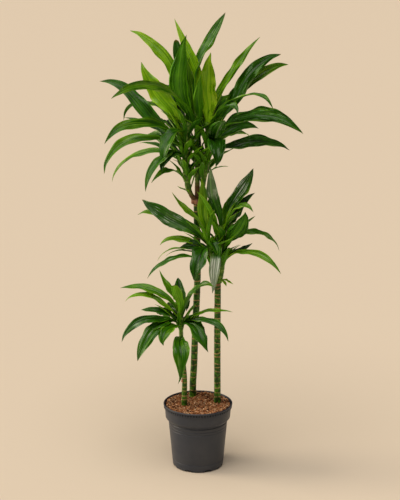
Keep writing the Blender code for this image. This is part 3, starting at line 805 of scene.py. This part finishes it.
def stacked_rings(bm: bmesh.types.BMesh, rings: list[Ring], sides: int) -> None:
    """Grows a closed tube through tilted rings, and fills the vertex layers of its marks.

    Args:
        bm: The mesh to grow it in.
        rings: The rings from low to high.
        sides: How many corners each has.
    """
    layers = {key: bm.verts.layers.float[key] for key in CANE_MARKS}
    centre = rings[0].centre
    made = bmesh.ops.create_circle(
        bm, cap_ends=True, segments=sides, radius=1.0, matrix=Matrix.Translation(centre)
    )
    face = made["verts"][0].link_faces[0]
    corners = [(vert.co - centre).normalized() for vert in face.verts]
    for k, ring in enumerate(rings):
        if k:
            face = bmesh.ops.extrude_discrete_faces(bm, faces=[face])["faces"][0]
        for vert, corner in zip(face.verts, corners):
            lump = noise.noise(Vector((*(corner.xy * LUMPS_ROUND), ring.centre.z * LUMPS_UP))) * ring.lumps
            vert.co = ring.centre + corner * (ring.radius + lump) + UP * ring.tilt.dot(corner) * ring.radius
            for key, layer in layers.items():
                vert[layer] = getattr(ring, key)
    bmesh.ops.holes_fill(bm, edges=[edge for edge in bm.edges if edge.is_boundary])


def scarred_mesh() -> bmesh.types.BMesh:
    """An empty mesh with the vertex layers of a ring's marks."""
    bm = bmesh.new()
    for key in CANE_MARKS:
        bm.verts.layers.float.new(key)
    return bm


@dataclass(frozen=True)
class Station:
    """A blade's place and posture at one share of its length."""

    centre: Vector
    side: Vector
    normal: Vector
    half: float
    fold: float


@dataclass(frozen=True)
class Blade:
    """One blade as a thin closed solid: folded at its midrib, bowed, ribbed and waved.

    order is its number, which gives it its own course: a lead is what each number adds to the
    start of a wave, and a course holds a noise's waves, its lead and its plane.
    """

    leaf: Leaf
    shoot: Shoot
    order: int
    columns: int = 20
    row_length: float = 8.5 * MM
    fewest_rows: int = 12
    most_rows: int = 42
    thickness: float = 0.7 * MM
    midrib: float = 0.9 * MM
    midrib_share: float = 0.13
    rib_height: float = 0.36 * MM
    ribs: float = 3.0
    bulge: float = 0.055
    flutter: float = 0.23
    edge_play: float = 0.085
    blunt_delay: float = 0.25
    blunt_power: float = 0.65
    hook_share: float = 0.14
    hook_size: float = 0.30
    hook_side: float = 0.5
    hook_drop: float = 0.35
    hook_lead: float = 3.7
    meander: float = 0.016
    meander_waves: float = 1.15
    meander_lead: float = 2.6
    meander_from: float = 0.4
    play_course: Point = (9.0, 7.3, 0.4)
    ripple_course: Point = (7.5, 3.1, 2.2)
    ribbed_from: float = 10 * MM
    tip_crowding: float = 1.2
    tone_play: float = 0.07
    tone_lead: float = 2.1
    # Where along the blade its grey wax and painted highlights start, and how far they take to grow in
    wax_and_glint_from: float = 0.34
    wax_and_glint_over: float = 0.26
    dry_every: int = 3
    least_dry: float = 0.35
    same_place: float = 0.01 * MM
    page_half: float = 0.43
    page_rim: float = 0.03
    page_margin: float = 0.02
    vein_offset: tuple[float, float] = (0.37, 0.21)

    def bow(self) -> tuple[Vector, Vector, Vector, Vector]:
        """Places the line that the blade follows.

        Returns:
            The foot, the two handles and the tip of its curve.
        """
        leaf = self.leaf
        out = level(leaf.turn)
        foot = axis_point(self.shoot.path, leaf.foot) + FOOT_DEPTH * stem_radius(self.shoot, leaf.foot) * out
        tip = foot + leaf.reach * out + leaf.rise * UP
        carry = leaf.spring * (tip - foot).length
        start, end = math.radians(leaf.start), math.radians(leaf.end)
        near = foot + carry * (math.cos(start) * out + math.sin(start) * UP)
        far = tip - carry * (math.cos(end) * out + math.sin(end) * UP)
        return foot, near, far, tip

    def length(self) -> float:
        """The length of the blade along its curve, in metres."""
        foot, near, far, tip = self.bow()
        return ((near - foot).length + (far - near).length + (tip - far).length + (tip - foot).length) / 2

    def width_share(self, share: float) -> float:
        """The width at this share of the length, as a share of the widest."""
        widened = FOOT_WIDTH_SHARE + (1.0 - FOOT_WIDTH_SHARE) * ease(share / WIDENED_AT)
        taper_from = TAPER_FROM + self.blunt_delay * self.leaf.blunt
        power = 1.0 - self.blunt_power * self.leaf.blunt
        towards_tip = max(0.0, (share - taper_from) / (1.0 - taper_from))
        return widened * max(0.0, math.cos(towards_tip * math.pi / 2)) ** power

    def station(self, share: float) -> Station:
        """Works out the blade's posture at one share of its length.

        Args:
            share: From 0 at the foot to 1 at the tip.

        Returns:
            The place, the two directions across, the half width and the fold.
        """
        leaf = self.leaf
        foot, near, far, tip = self.bow()
        out, rest = level(leaf.turn), 1.0 - share
        centre = rest**3 * foot + 3 * rest**2 * share * near + 3 * rest * share**2 * far + share**3 * tip
        along = rest**2 * (near - foot) + 2 * rest * share * (far - near) + share**2 * (tip - far)
        along.normalize()
        rolled = leaf.lean * ease(share / ROLLED_AT) + leaf.twist * ease(share - ROLLED_AT / 2)
        side = Matrix.Rotation(math.radians(rolled), 3, along) @ Vector((out.y, -out.x, 0.0))
        fold = math.radians(FOOT_FOLD + (BLADE_FOLD - FOOT_FOLD) * ease(share / WIDENED_AT))
        normal = side.cross(along)
        # The last seventh hooks sideways and down, each blade its own way
        hook = ease((share - 1.0 + self.hook_share) / self.hook_share) ** 2 * self.hook_size * leaf.width
        sway = math.sin(self.hook_lead * self.order + 1.0)
        centre += hook * (self.hook_side * sway * side - self.hook_drop * normal)
        lead = self.meander_lead * self.order
        drift = math.sin(2 * math.pi * self.meander_waves * share + lead) - math.sin(lead)
        settled = ease(share / self.meander_from) * rest * 2
        centre += self.meander * (tip - foot).length * drift * settled * side
        return Station(centre, side, normal, leaf.width / 2 * self.width_share(share), fold)

    def place(self, station: Station, across: float, share: float) -> Vector:
        """The point of the upper face at this place.

        Args:
            station: The posture at this share of the length.
            across: From -1 at one edge to 1 at the other.
            share: From 0 at the foot to 1 at the tip.

        Returns:
            The point in metres.
        """
        edge, flank = abs(across), 2.0 if across > 0 else 0.0
        swing = math.sin(math.pi * share)
        play, ripple = (
            2 * noise.noise(Vector((waves * share, lead * self.order + flank, plane)))
            for waves, lead, plane in (self.play_course, self.ripple_course)
        )
        half = station.half * (1.0 + self.edge_play * play * swing * edge)
        phase = 2 * math.pi * WAVES * share + (WAVE_LEAD + WAVE_SKEW * across) * self.order
        wave = WAVE_SHARE * self.leaf.width * swing * math.sin(phase)
        room = min(1.0, half / self.ribbed_from)
        rib = self.rib_height * math.cos(2 * math.pi * self.ribs * edge) * room * swing
        crown = self.bulge * half * math.sin(math.pi * edge)
        lift = edge * (half * math.sin(station.fold) + wave) + rib + crown
        lift += self.flutter * station.half * swing * ripple * edge**2
        aside = across * half * math.cos(station.fold)
        return station.centre + station.side * aside + station.normal * lift

    def grow(self, bm: bmesh.types.BMesh, layers: dict[str, object], cell: tuple[float, ...]) -> None:
        """Grows the blade in a head's mesh.

        Args:
            bm: The head's mesh.
            layers: The layers to fill, by name.
            cell: The place on the page: left, foot, width of one face's strip, and height.
        """
        length = self.length()
        rows = min(self.most_rows, max(self.fewest_rows, round(length / self.row_length)))
        grid = bmesh.ops.create_grid(bm, x_segments=self.columns, y_segments=rows, size=1.0)["verts"]
        tone, wax_and_glint = self.leaf.look.value
        stations: dict[float, Station] = {}
        for vert in grid:
            across, climb = round(vert.co.x, 6), round((vert.co.y + 1.0) / 2.0, 6)
            share = 1.0 - (1.0 - climb) ** self.tip_crowding
            if share not in stations:
                stations[share] = self.station(share)
            vert.co = self.place(stations[share], across, share)
            # Each vertex carries its tone, its share of grey wax and painted highlight, and where it lies
            marks = {
                "tone": tone + self.tone_play * math.sin(self.order * self.tone_lead),
                "wax_and_glint": wax_and_glint * ease((share - self.wax_and_glint_from) / self.wax_and_glint_over),
                "fade": self.least_dry if self.order % self.dry_every else 1.0,
                "share": share, "edge": abs(across), "across": across,
            }
            for key, value in marks.items():
                vert[layers[key]] = value
        tip = stations[max(stations)].centre
        ends = [vert for vert in grid if (vert.co - tip).length < self.same_place]
        bmesh.ops.pointmerge(bm, verts=ends, merge_co=tip)
        upper = list({face for vert in grid if vert.is_valid for face in vert.link_faces})
        made = bmesh.ops.extrude_face_region(bm, geom=upper, use_keep_orig=True)["geom"]
        under = {piece for piece in made if isinstance(piece, bmesh.types.BMVert)}
        lower = {piece for piece in made if isinstance(piece, bmesh.types.BMFace)}
        for vert in under:
            share, edge = vert[layers["share"]], vert[layers["edge"]]
            keel = self.midrib * max(0.0, 1.0 - edge / self.midrib_share) * (1.0 - share)
            vert.co -= self.station(share).normal * (self.thickness + keel)
        shell = list({face for vert in under for face in vert.link_faces} | set(upper))
        bmesh.ops.recalc_face_normals(bm, faces=shell)
        left, foot, width, height = cell
        for face in shell:
            face.material_index = 1 if face in lower else 0
            strip = left + (width if face in lower else 0.0)
            for loop in face.loops:
                across, share = loop.vert[layers["across"]], loop.vert[layers["share"]]
                flat = self.page_half * across
                if face not in lower and loop.vert in under:
                    flat += math.copysign(self.page_rim, across)
                climb = self.page_margin + (1.0 - 2 * self.page_margin) * share
                loop[layers[PAGE_MAP]].uv = (strip + width * (0.5 + flat), foot + height * climb)
                aside, along = (offset * self.order for offset in self.vein_offset)
                loop[layers[VEIN_MAP]].uv = (across * self.leaf.width / 2 + aside, share * length + along)


@dataclass(frozen=True)
class Head:
    """A leafy head: its shoots' stems, and the blades of each shoot as one piece."""

    name: str
    node: str
    shoots: tuple[Shoot, ...]
    tufts: tuple[tuple[Leaf, ...], ...]
    strip_aspect: float = 7.0
    shoot_stride: int = 23
    tuft_start: int = 60
    tuft_stride: int = 9
    stem_sides: int = 24
    sheath_length: float = 13 * MM
    sheath_spin: float = 2.4
    clad_over: float = 50 * MM
    callus_over: float = 30 * MM
    lumps: float = 0.6 * MM
    bare_tilt: float = 0.16
    clad_tilt: float = 0.4
    smoothing: float = 12 * MM
    # Each sheath's rings: its share of the sheath, how wide it is bare and clad, and its scar
    sheath_rings: tuple[tuple[float, ...], ...] = (
        (0.0, 1.04, 1.16, 0.7), (0.10, 0.99, 1.20, 0.1), (0.88, 1.0, 1.42, 0.0),
    )

    def build_blades(self, number: int, skins: list[bpy.types.Material]) -> bpy.types.Object:
        """Builds the blades of one shoot, the small clasping ones of its tuft last.

        Args:
            number: Which of the head's shoots.
            skins: The materials of the upper and of the under faces.

        Returns:
            The piece.
        """
        shoot = self.shoots[number]
        bm = bmesh.new()
        layers = {key: bm.verts.layers.float.new(key) for key in (*BLADE_MARKS, "across")}
        layers |= {key: bm.loops.layers.uv.new(key) for key in (VEIN_MAP, PAGE_MAP)}
        first, tuft_first = self.shoot_stride * number, self.tuft_start + self.tuft_stride * number
        blades = [Blade(leaf, shoot, first + k) for k, leaf in enumerate(shoot.leaves)]
        blades += [
            Blade(leaf, shoot, tuft_first + k, columns=10, row_length=11 * MM, fewest_rows=10)
            for k, leaf in enumerate(self.tufts[number])
        ]
        # Each blade has a cell of the page, with a strip for its upper and one for its under face
        tiers = max(1, round(math.sqrt(2 * len(blades) / self.strip_aspect)))
        across = math.ceil(len(blades) / tiers)
        for k, blade in enumerate(blades):
            blade.grow(bm, layers, (k % across / across, k // across / tiers, 0.5 / across, 1.0 / tiers))
        bm.verts.layers.float.remove(bm.verts.layers.float["across"])
        name = f"{self.name}_blades_{number + 1}"
        return finish_piece(name, bm, skins, Slot.LEAF, (self.node,), sharp=60.0)

    def smooth_axis(self, shoot: Shoot, height: float) -> Vector:
        """A shoot's axis with its corners eased.

        Args:
            shoot: The shoot.
            height: The height above the floor.

        Returns:
            The point of the eased axis.
        """
        low, high = shoot.path[0][2], shoot.path[-1][2]
        reach = min(self.smoothing, height - low, high - height)
        ends = axis_point(shoot.path, height - reach) + axis_point(shoot.path, height + reach)
        return (ends + 2 * axis_point(shoot.path, height)) / 4

    def build_stems(self, bark: bpy.types.Material) -> bpy.types.Object:
        """Builds the stems under the blades: bare and scarred low down, in nested sheaths above.

        Args:
            bark: Their material.

        Returns:
            The piece.
        """
        bm = scarred_mesh()
        for number, shoot in enumerate(self.shoots):
            low, high = shoot.path[0][2], shoot.path[-1][2]
            rings = []
            steps = round((high - low) / self.sheath_length)
            for k in range(steps + 1):
                base = low + (high - low) * k / steps
                leafy = ease((base - shoot.leafy_from) / self.clad_over)
                spin = self.sheath_spin * k + number
                steep = self.bare_tilt + self.clad_tilt * leafy
                tilt = Vector((math.cos(spin), math.sin(spin), 0.0)) * steep
                for rise, bare, clad, scar in self.sheath_rings:
                    height = min(high, base + rise * self.sheath_length)
                    radius = stem_radius(shoot, height) * (bare + (clad - bare) * leafy)
                    callus = 1.0 - ease((height - shoot.brown_to) / self.callus_over)
                    rings.append(
                        Ring(self.smooth_axis(shoot, height), radius, scar, callus, self.lumps, tilt)
                    )
            stacked_rings(bm, rings, self.stem_sides)
        bmesh.ops.recalc_face_normals(bm, faces=bm.faces)
        return finish_piece(self.name + "_stems", bm, [bark], Slot.GREEN_CANE, (self.node,))


@dataclass(frozen=True)
class Cane:
    """A bare cane: green bark, a ring of cork at each leaf scar, and a pruned end."""

    name: str
    node: str
    slot: Slot
    path: tuple[Point, ...]
    radius: float
    top_radius: float
    scar_spacing: float
    knob: float = 1.0
    callus_from: float = 9.0
    bud: Point | None = None
    bud_radius: float = 6.5 * MM
    bud_squeeze: float = 0.55
    sides: int = 32
    most_tilt: float = 0.22
    play: float = 0.24
    faintest: float = 0.55
    plumb_scars: int = 4
    end_callus: float = 0.3
    end_lumps: float = 1.0 * MM
    buried: float = 4 * MM
    lumps: float = 0.6 * MM
    knob_lumps: float = 9 * MM
    callus_over: float = 6 * MM
    smooth_after: float = 0.35
    # A scar's rings: the rise from its place, the swell of the bark and how corky it is
    scar_rings: tuple[Point, ...] = (
        (-0.0020, 1.0, 0.0), (-0.0010, 1.020, 0.9), (0.0003, 1.028, 1.0), (0.0015, 1.01, 0.8),
        (0.0030, 0.986, 0.0),
    )
    # The rings that round the pruned end: the drop from its top, and the share of its radius
    end_rings: tuple[tuple[float, float], ...] = ((0.0030, 0.98), (0.0012, 0.90), (0.0, 0.74))

    def axis(self, height: float) -> Vector:
        """The cane's axis: plumb in the soil, then leaning into its path.

        Args:
            height: The height above the floor.

        Returns:
            The point of the axis.
        """
        start = SOIL_TOP + STRAIGHT_FOOT
        foot = Vector((self.path[0][0], self.path[0][1], height))
        settle = ease((height - start) / (self.plumb_scars * self.scar_spacing))
        return foot.lerp(axis_point(self.path, height), settle)

    def rings(self) -> list[Ring]:
        """Works out the rings from the buried foot to the pruned end.

        Returns:
            The rings, from low to high.
        """
        top, start = self.path[-1][2], SOIL_TOP + STRAIGHT_FOOT
        draw = random.Random(self.name)
        rings = [Ring(self.axis(height), self.radius) for height in (CANE_FOOT, SOIL_TOP - self.buried)]
        scars = round((top - start) / self.scar_spacing)
        spacing = (top - start) / scars
        steps = (*self.scar_rings, (self.smooth_after * spacing, *self.scar_rings[-1][1:]))
        for k in range(scars):
            tilt = Vector((draw.uniform(-1, 1), draw.uniform(-1, 1), 0.0)) * self.most_tilt
            shift = draw.uniform(-self.play, self.play) * spacing if k else 0.0
            strength = draw.uniform(self.faintest, 1.0)
            for rise, swell, scar in steps:
                height = start + spacing * k + shift + rise
                if height > top - self.end_rings[0][0]:
                    continue
                share = (height - start) / (top - start)
                corky = ease((height - self.callus_from) / self.callus_over)
                radius = self.radius + (self.top_radius - self.radius) * share
                radius *= swell * (1.0 + (self.knob - 1.0) * corky)
                lumps = self.lumps + self.knob_lumps * corky * (self.knob > 1.0)
                rings.append(Ring(self.axis(height), radius, scar * strength, corky, lumps, tilt))
        last, corky = self.top_radius * self.knob, 1.0 if self.callus_from < top else self.end_callus
        return rings + [
            Ring(self.axis(top - drop), last * share, 0.0, corky, self.end_lumps)
            for drop, share in self.end_rings
        ]

    def build(self, bark: bpy.types.Material) -> bpy.types.Object:
        """Builds the cane.

        Args:
            bark: Its material.

        Returns:
            The piece.
        """
        bm = scarred_mesh()
        stacked_rings(bm, self.rings(), self.sides)
        if self.bud:
            squeeze = Matrix.Diagonal((self.bud_squeeze, self.bud_squeeze, 1.0, 1.0))
            grown = bmesh.ops.create_icosphere(
                bm, subdivisions=2, radius=self.bud_radius, matrix=Matrix.Translation(self.bud) @ squeeze
            )
            for vert in grown["verts"]:
                vert[bm.verts.layers.float["callus"]] = 1.0
        bmesh.ops.recalc_face_normals(bm, faces=bm.faces)
        return finish_piece(self.name, bm, [bark], self.slot, (self.node,))


@dataclass(frozen=True)
class NurseryPot:
    """The pot: tapered body, wide collar over a step, rolled lip with ribs under it, drain slots."""

    height: float = 0.2285
    rim_radius: float = 0.120
    rim_height: float = 0.0085
    collar_top: float = 0.1158
    collar_bottom: float = 0.1128
    collar_foot: float = 0.176
    step: float = 0.007
    body_top: float = 0.1030
    body_foot: float = 0.0880
    foot_round: float = 0.004
    wall: float = 0.003
    lip_room: float = 0.0015
    edge: float = 0.002
    shoulder: float = 0.003
    notch_foot: float = 0.2140
    notch_depth: float = 0.0023
    # Each groove's height, width and depth
    grooves: tuple[Point, ...] = (
        (0.027, 0.0024, 0.0006), (0.142, 0.0026, 0.0009), (0.152, 0.0026, 0.0009), (0.1655, 0.0048, 0.0016),
    )
    steps: int = 128
    slots: int = 8
    slot_size: Point = (0.018, 0.022, 0.015)
    ribs: int = 76
    rib_size: Point = (0.0056, 0.0056, 0.0075)
    rib_root: float = 0.3 * MM
    corner_round: float = 0.35 * MM
    notch_slack: float = 0.2 * MM

    def body_radius(self, height: float) -> float:
        """The outer radius of the tapered body at this height."""
        share = height / (self.collar_foot - self.step)
        return self.body_foot + (self.body_top - self.body_foot) * share

    def profile(self) -> list[tuple[float, float]]:
        """Lists the outline from the middle of the base, round the lip, to the middle of the floor.

        Returns:
            Points of radius and height in metres.
        """
        lip_foot, lip_inner = self.height - self.rim_height, self.collar_top + self.lip_room
        notch = self.collar_top - self.notch_depth
        points = [(0.0, 0.0), (self.body_foot - self.foot_round, 0.0), (self.body_foot, self.foot_round)]
        for height, width, depth in self.grooves:
            radius, half = self.body_radius(height), width / 2
            points += [
                (radius, height - half), (radius - depth, height - half / 3),
                (radius - depth, height + half / 3), (radius, height + half),
            ]
        return points + [
            (self.body_top, self.collar_foot - self.step),
            (self.collar_bottom - self.edge, self.collar_foot),
            (self.collar_bottom, self.collar_foot + self.shoulder),
            (self.collar_top - self.lip_room / 3, self.notch_foot),
            (notch, self.notch_foot + self.lip_room),
            (notch, lip_foot + self.lip_room),
            (self.rim_radius - self.edge, lip_foot + self.lip_room),
            (self.rim_radius, lip_foot + self.lip_room + self.edge),
            (self.rim_radius, self.height - self.edge),
            (self.rim_radius - self.edge, self.height),
            (lip_inner, self.height),
            (lip_inner - self.edge, self.height - self.shoulder),
            (self.collar_top - self.wall, lip_foot),
            (self.collar_bottom - self.wall, self.collar_foot + self.wall),
            (self.body_top - self.wall, self.collar_foot - self.step + self.wall),
            (self.body_radius(self.wall) - self.wall, self.wall),
            (0.0, self.wall),
        ]

    def shell(self) -> bmesh.types.BMesh:
        """Turns the rounded outline into the pot's wall.

        Returns:
            The closed wall.
        """
        bm = bmesh.new()
        verts = [bm.verts.new((radius, 0.0, height)) for radius, height in self.profile()]
        for pair in zip(verts, verts[1:]):
            bm.edges.new(pair)
        bmesh.ops.bevel(
            bm, geom=verts[1:-1], offset=self.corner_round, segments=2, profile=0.5, affect="VERTICES",
            material=-1,
        )
        bmesh.ops.spin(
            bm, geom=bm.verts[:] + bm.edges[:], cent=(0, 0, 0), axis=(0, 0, 1), dvec=(0, 0, 0),
            angle=2 * math.pi, steps=self.steps, use_merge=True,
        )
        bmesh.ops.remove_doubles(bm, verts=bm.verts, dist=1e-6)
        bmesh.ops.recalc_face_normals(bm, faces=bm.faces)
        return bm

    def boxes_round(
        self, count: int, turn: float, radius: float, height: float, size: Point
    ) -> bmesh.types.BMesh:
        """Sets equal boxes in a ring round the pot.

        Args:
            count: How many there are.
            turn: How far the first is turned, as a share of the way to the next.
            radius: How far out their middles are.
            height: The height of their middles.
            size: Their size outward, along the ring and upright.

        Returns:
            The boxes.
        """
        bm = bmesh.new()
        box = Matrix.Translation((radius, 0.0, height)) @ Matrix.Diagonal((*size, 1.0))
        for k in range(count):
            place = Matrix.Rotation(2 * math.pi * (k + turn) / count, 4, "Z") @ box
            bmesh.ops.create_cube(bm, size=1.0, matrix=place)
        return bm

    def cut_slots(self, piece: bpy.types.Object) -> None:
        """Cuts the drain slots through the foot of the wall.

        Args:
            piece: The pot, whose mesh is replaced by the cut one.
        """
        bm = self.boxes_round(self.slots, 0.5, self.body_foot, 0.0, self.slot_size)
        # The slot faces take the second material, the near-black painted shade
        for face in bm.faces:
            face.material_index = 1
        cutter = show("slot_cutter", new_mesh("slot_cutter", bm))
        modifier = piece.modifiers.new("slots", "BOOLEAN")
        modifier.operation = "DIFFERENCE"
        modifier.object = cutter
        graph = bpy.context.evaluated_depsgraph_get()
        piece.data = bpy.data.meshes.new_from_object(piece.evaluated_get(graph))
        piece.modifiers.clear()
        bpy.data.objects.remove(cutter)

    def build(self, plastic: bpy.types.Material, gap_shade: bpy.types.Material) -> None:
        """Builds the pot and the ribs under its lip.

        Args:
            plastic: The material of both.
            gap_shade: Near-black painted shade for the slots and for the notch behind the ribs.
        """
        bm = self.shell()
        notch, top = self.collar_top - self.notch_depth, self.height - self.rim_height + self.lip_room
        # Faces deep in the notch behind the ribs take the near-black painted shade
        for face in bm.faces:
            middle = face.calc_center_median()
            outward = Vector((middle.x, middle.y, 0.0))
            deep = self.notch_foot < middle.z < top and outward.length < notch + self.notch_slack
            if deep and face.normal.dot(outward) > 0:
                face.material_index = 1
        wall = finish_piece("pot_wall", bm, [plastic, gap_shade], Slot.PLASTIC, ("pot",), sharp=32.0)
        self.cut_slots(wall)
        depth, _, height = self.rib_size
        middle = notch + depth / 2 - self.rib_root
        bm = self.boxes_round(self.ribs, 0.0, middle, top - height / 2, self.rib_size)
        finish_piece("pot_lip_ribs", bm, [plastic], Slot.PLASTIC, ("pot",))


@dataclass(frozen=True)
class Substrate:
    """The bark and coir on top of the fill, chip by chip."""

    radius: float = 0.1122
    chips: int = 4300
    fibres: int = 500
    seed: int = 11
    clear_radius: float = 12.5 * MM
    wall_rise: float = 3.0 * MM
    banked_from: float = 82 * MM
    banked_over: float = 24 * MM
    most_roll: float = 30
    most_pitch: float = 38
    rise: tuple[float, float] = (-0.6, 2.8)
    fibre_length: tuple[float, float] = (8, 15)
    fibre_width: float = 0.6
    fibre_bend: float = 0.1
    chip_length: tuple[float, float] = (3, 7.5)
    chip_width: tuple[float, float] = (0.35, 0.75)
    chip_depth: tuple[float, float] = (1.0, 2.6)
    chip_bend: float = 0.22
    usual_shade: float = 0.52
    shade_spread: float = 0.30

    def height(self, x: float, y: float) -> float:
        """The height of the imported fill's lumpy top at this place.

        Args:
            x: Metres to the right.
            y: Metres to the back.

        Returns:
            The height above the floor.
        """
        coarse = math.sin(SOIL_WAVES[0] * x + SOIL_LEADS[0]) * math.cos(SOIL_WAVES[1] * y + SOIL_LEADS[1])
        fine = math.sin(SOIL_RIPPLES[0] * x - SOIL_RIPPLES[1] * y)
        settled = ease((self.radius - math.hypot(x, y)) / LEVEL_EDGE)
        return SOIL_TOP + SOIL_RELIEF * (SOIL_SHARES[0] * coarse + SOIL_SHARES[1] * fine) * settled

    def spot(self, draw: random.Random, canes: list[Cane], margin: float) -> Vector:
        """Draws a place on the fill that is clear of the canes.

        Args:
            draw: The seeded source.
            canes: The canes to keep clear of.
            margin: How far inside the wall it stays.

        Returns:
            The point on the fill's surface, a little higher by the wall.
        """
        while True:
            reach = (self.radius - margin) * math.sqrt(draw.random())
            spot = reach * level(draw.uniform(0, 360))
            banked = self.wall_rise * ease((reach - self.banked_from) / self.banked_over)
            feet = [cane.path[0] for cane in canes]
            if all(math.hypot(spot.x - foot[0], spot.y - foot[1]) > self.clear_radius for foot in feet):
                return Vector((spot.x, spot.y, self.height(spot.x, spot.y) + banked))

    def build(self, bark: bpy.types.Material, canes: list[Cane]) -> bpy.types.Object:
        """Strews the chips and fibres.

        Args:
            bark: Their material.
            canes: The canes that they lie round.

        Returns:
            The piece.
        """
        draw = random.Random(self.seed)
        bm = bmesh.new()
        shade = bm.verts.layers.float.new("shade")
        for k in range(self.chips + self.fibres):
            fibre = k >= self.chips
            length = draw.uniform(*(self.fibre_length if fibre else self.chip_length)) * MM
            width = self.fibre_width * MM if fibre else length * draw.uniform(*self.chip_width)
            depth = self.fibre_width * MM if fibre else draw.uniform(*self.chip_depth) * MM
            tone = min(1.0, max(0.0, draw.gauss(self.usual_shade, self.shade_spread)))
            turns = [draw.uniform(-most, most) for most in (self.most_roll, self.most_pitch)]
            turns.append(draw.uniform(0, 360))
            spot = self.spot(draw, canes, length / 2)
            place = Matrix.Translation(spot + UP * draw.uniform(*self.rise) * MM)
            for degrees, axis in zip(reversed(turns), "ZYX"):
                place @= Matrix.Rotation(math.radians(degrees), 4, axis)
            place @= Matrix.Diagonal((length, width, depth, 1.0))
            bend = (self.fibre_bend if fibre else self.chip_bend) * width
            for vert in bmesh.ops.create_cube(bm, size=1.0, matrix=place)["verts"]:
                vert.co += Vector([draw.uniform(-1, 1) for _ in range(3)]) * bend
                vert[shade] = tone
        return finish_piece("bark_chips", bm, [bark], Slot.BARK, sharp=25.0)


@dataclass(frozen=True)
class Lamp:
    """A lamp at infinity: where it shines from, how wide it looks, and its light."""

    name: str
    place: Point
    angle: float
    strength: float
    colour: str

    def build(self) -> None:
        """Hangs the lamp."""
        lamp = bpy.data.lights.new(self.name, "SUN")
        lamp.energy = self.strength
        lamp.angle = math.radians(self.angle)
        lamp.color = srgb(self.colour)[:3]
        show(self.name, lamp).rotation_euler = Vector(self.place).to_track_quat("Z", "Y").to_euler()


@dataclass(frozen=True)
class Studio:
    """The plain floor, the soft light and the camera at the photograph's angle."""

    camera_place: Point = (0.0072, -4.499, 1.9334)
    camera_drop: float = 14.43
    lens: float = 98.8
    sky: str = "#efe6dc"
    sky_strength: float = 0.07
    floor_size: float = 140.0
    lamps: tuple[Lamp, ...] = (
        Lamp("window", (-2.4, 0.35, 0.95), 30.0, 1.6, "#ffefd8"),
        Lamp("overhead", (-0.5, -0.7, 3.0), 60.0, 2.4, "#fdf4ea"),
    )

    def build(self) -> None:
        """Sets up the floor, the lights and the camera."""
        bm = bmesh.new()
        bmesh.ops.create_grid(bm, x_segments=1, y_segments=1, size=self.floor_size / 2)
        floor = show("floor", new_mesh("floor", bm))
        floor.data.materials.append(FLOOR.make())
        world = bpy.data.worlds.new("studio")
        world.use_nodes = True
        background = world.node_tree.nodes["Background"]
        background.inputs["Color"].default_value = srgb(self.sky)
        background.inputs["Strength"].default_value = self.sky_strength
        bpy.context.scene.world = world
        for lamp in self.lamps:
            lamp.build()
        lens = bpy.data.cameras.new("camera")
        lens.lens = self.lens
        lens.sensor_width = 36.0
        camera = show("camera", lens)
        camera.location = self.camera_place
        camera.rotation_euler = (math.radians(90.0 - self.camera_drop), 0.0, 0.0)
        bpy.context.scene.camera = camera
        bpy.context.scene.view_settings.view_transform = "Standard"


TALL_CANE = Cane(
    name="cane_tall_bark", node="cane_tall", slot=Slot.GREEN_CANE,
    path=((-0.018, 0.080, 0.20), (-0.012, 0.080, 0.40), (-0.001, 0.080, 0.66), (-0.004, 0.080, 0.936)),
    radius=0.0120, top_radius=0.0110, scar_spacing=0.024, knob=1.75, callus_from=0.914,
)
MIDDLE_CANE = Cane(
    name="cane_middle_bark", node="cane_middle", slot=Slot.GREEN_CANE,
    path=((0.068, 0.015, 0.20), (0.067, 0.015, 0.45), (0.068, 0.015, 0.655)),
    radius=0.0115, top_radius=0.0110, scar_spacing=0.0175, callus_from=0.648,
)
SHORT_CANE = Cane(
    name="cane_short_bark", node="cane_short", slot=Slot.PALE_CANE,
    path=((-0.047, -0.010, 0.20), (-0.046, -0.010, 0.33), (-0.057, -0.010, 0.458)),
    radius=0.0098, top_radius=0.0066, scar_spacing=0.015, bud=(-0.0546, -0.0165, 0.313),
)
CANES = [TALL_CANE, MIDDLE_CANE, SHORT_CANE]
HEADS = [
    Head(
        "tall_head", "crown_tall", (TALL_LEFT, TALL_CENTRE, TALL_RIGHT),
        (
            LEAF_BASES.crowd(0.965, 1.15, 26, 20), LEAF_BASES.crowd(0.99, 1.17, 20, 60),
            LEAF_BASES.crowd(0.975, 1.14, 22, 130),
        ),
    ),
    Head(
        "middle_head", "crown_middle", (MIDDLE_LEFT, MIDDLE_RIGHT),
        (LEAF_BASES.crowd(0.69, 0.80, 14, 80), LEAF_BASES.crowd(0.695, 0.81, 15, 190)),
    ),
    Head("short_head", "crown_short", (SHORT_SHOOT,), (LEAF_BASES.crowd(0.475, 0.50, 5, 260),)),
]


def main() -> None:
    """Builds every piece in order and reports it."""
    logging.basicConfig(level=logging.INFO, format="%(name)s: %(message)s")
    Studio().build()
    NurseryPot().build(POT_PLASTIC.make(), GAP_SHADE_PLASTIC.make())
    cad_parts["substrate"].material_slots[0].material = DARK_FINES.make()
    Substrate().build(BARK_CHIPS.make(), CANES)
    dark_bark = DARK_CANE.make()
    TALL_CANE.build(dark_bark)
    MIDDLE_CANE.build(dark_bark)
    SHORT_CANE.build(PALE_BARK.make())
    skins = [UPPER_SKIN.make(), UNDER_SKIN.make()]
    young_bark = SHOOT_BARK.make()
    for head in HEADS:
        for number in range(len(head.shoots)):
            head.build_blades(number, skins)
        head.build_stems(young_bark)


if __name__ == "__main__":
    main()
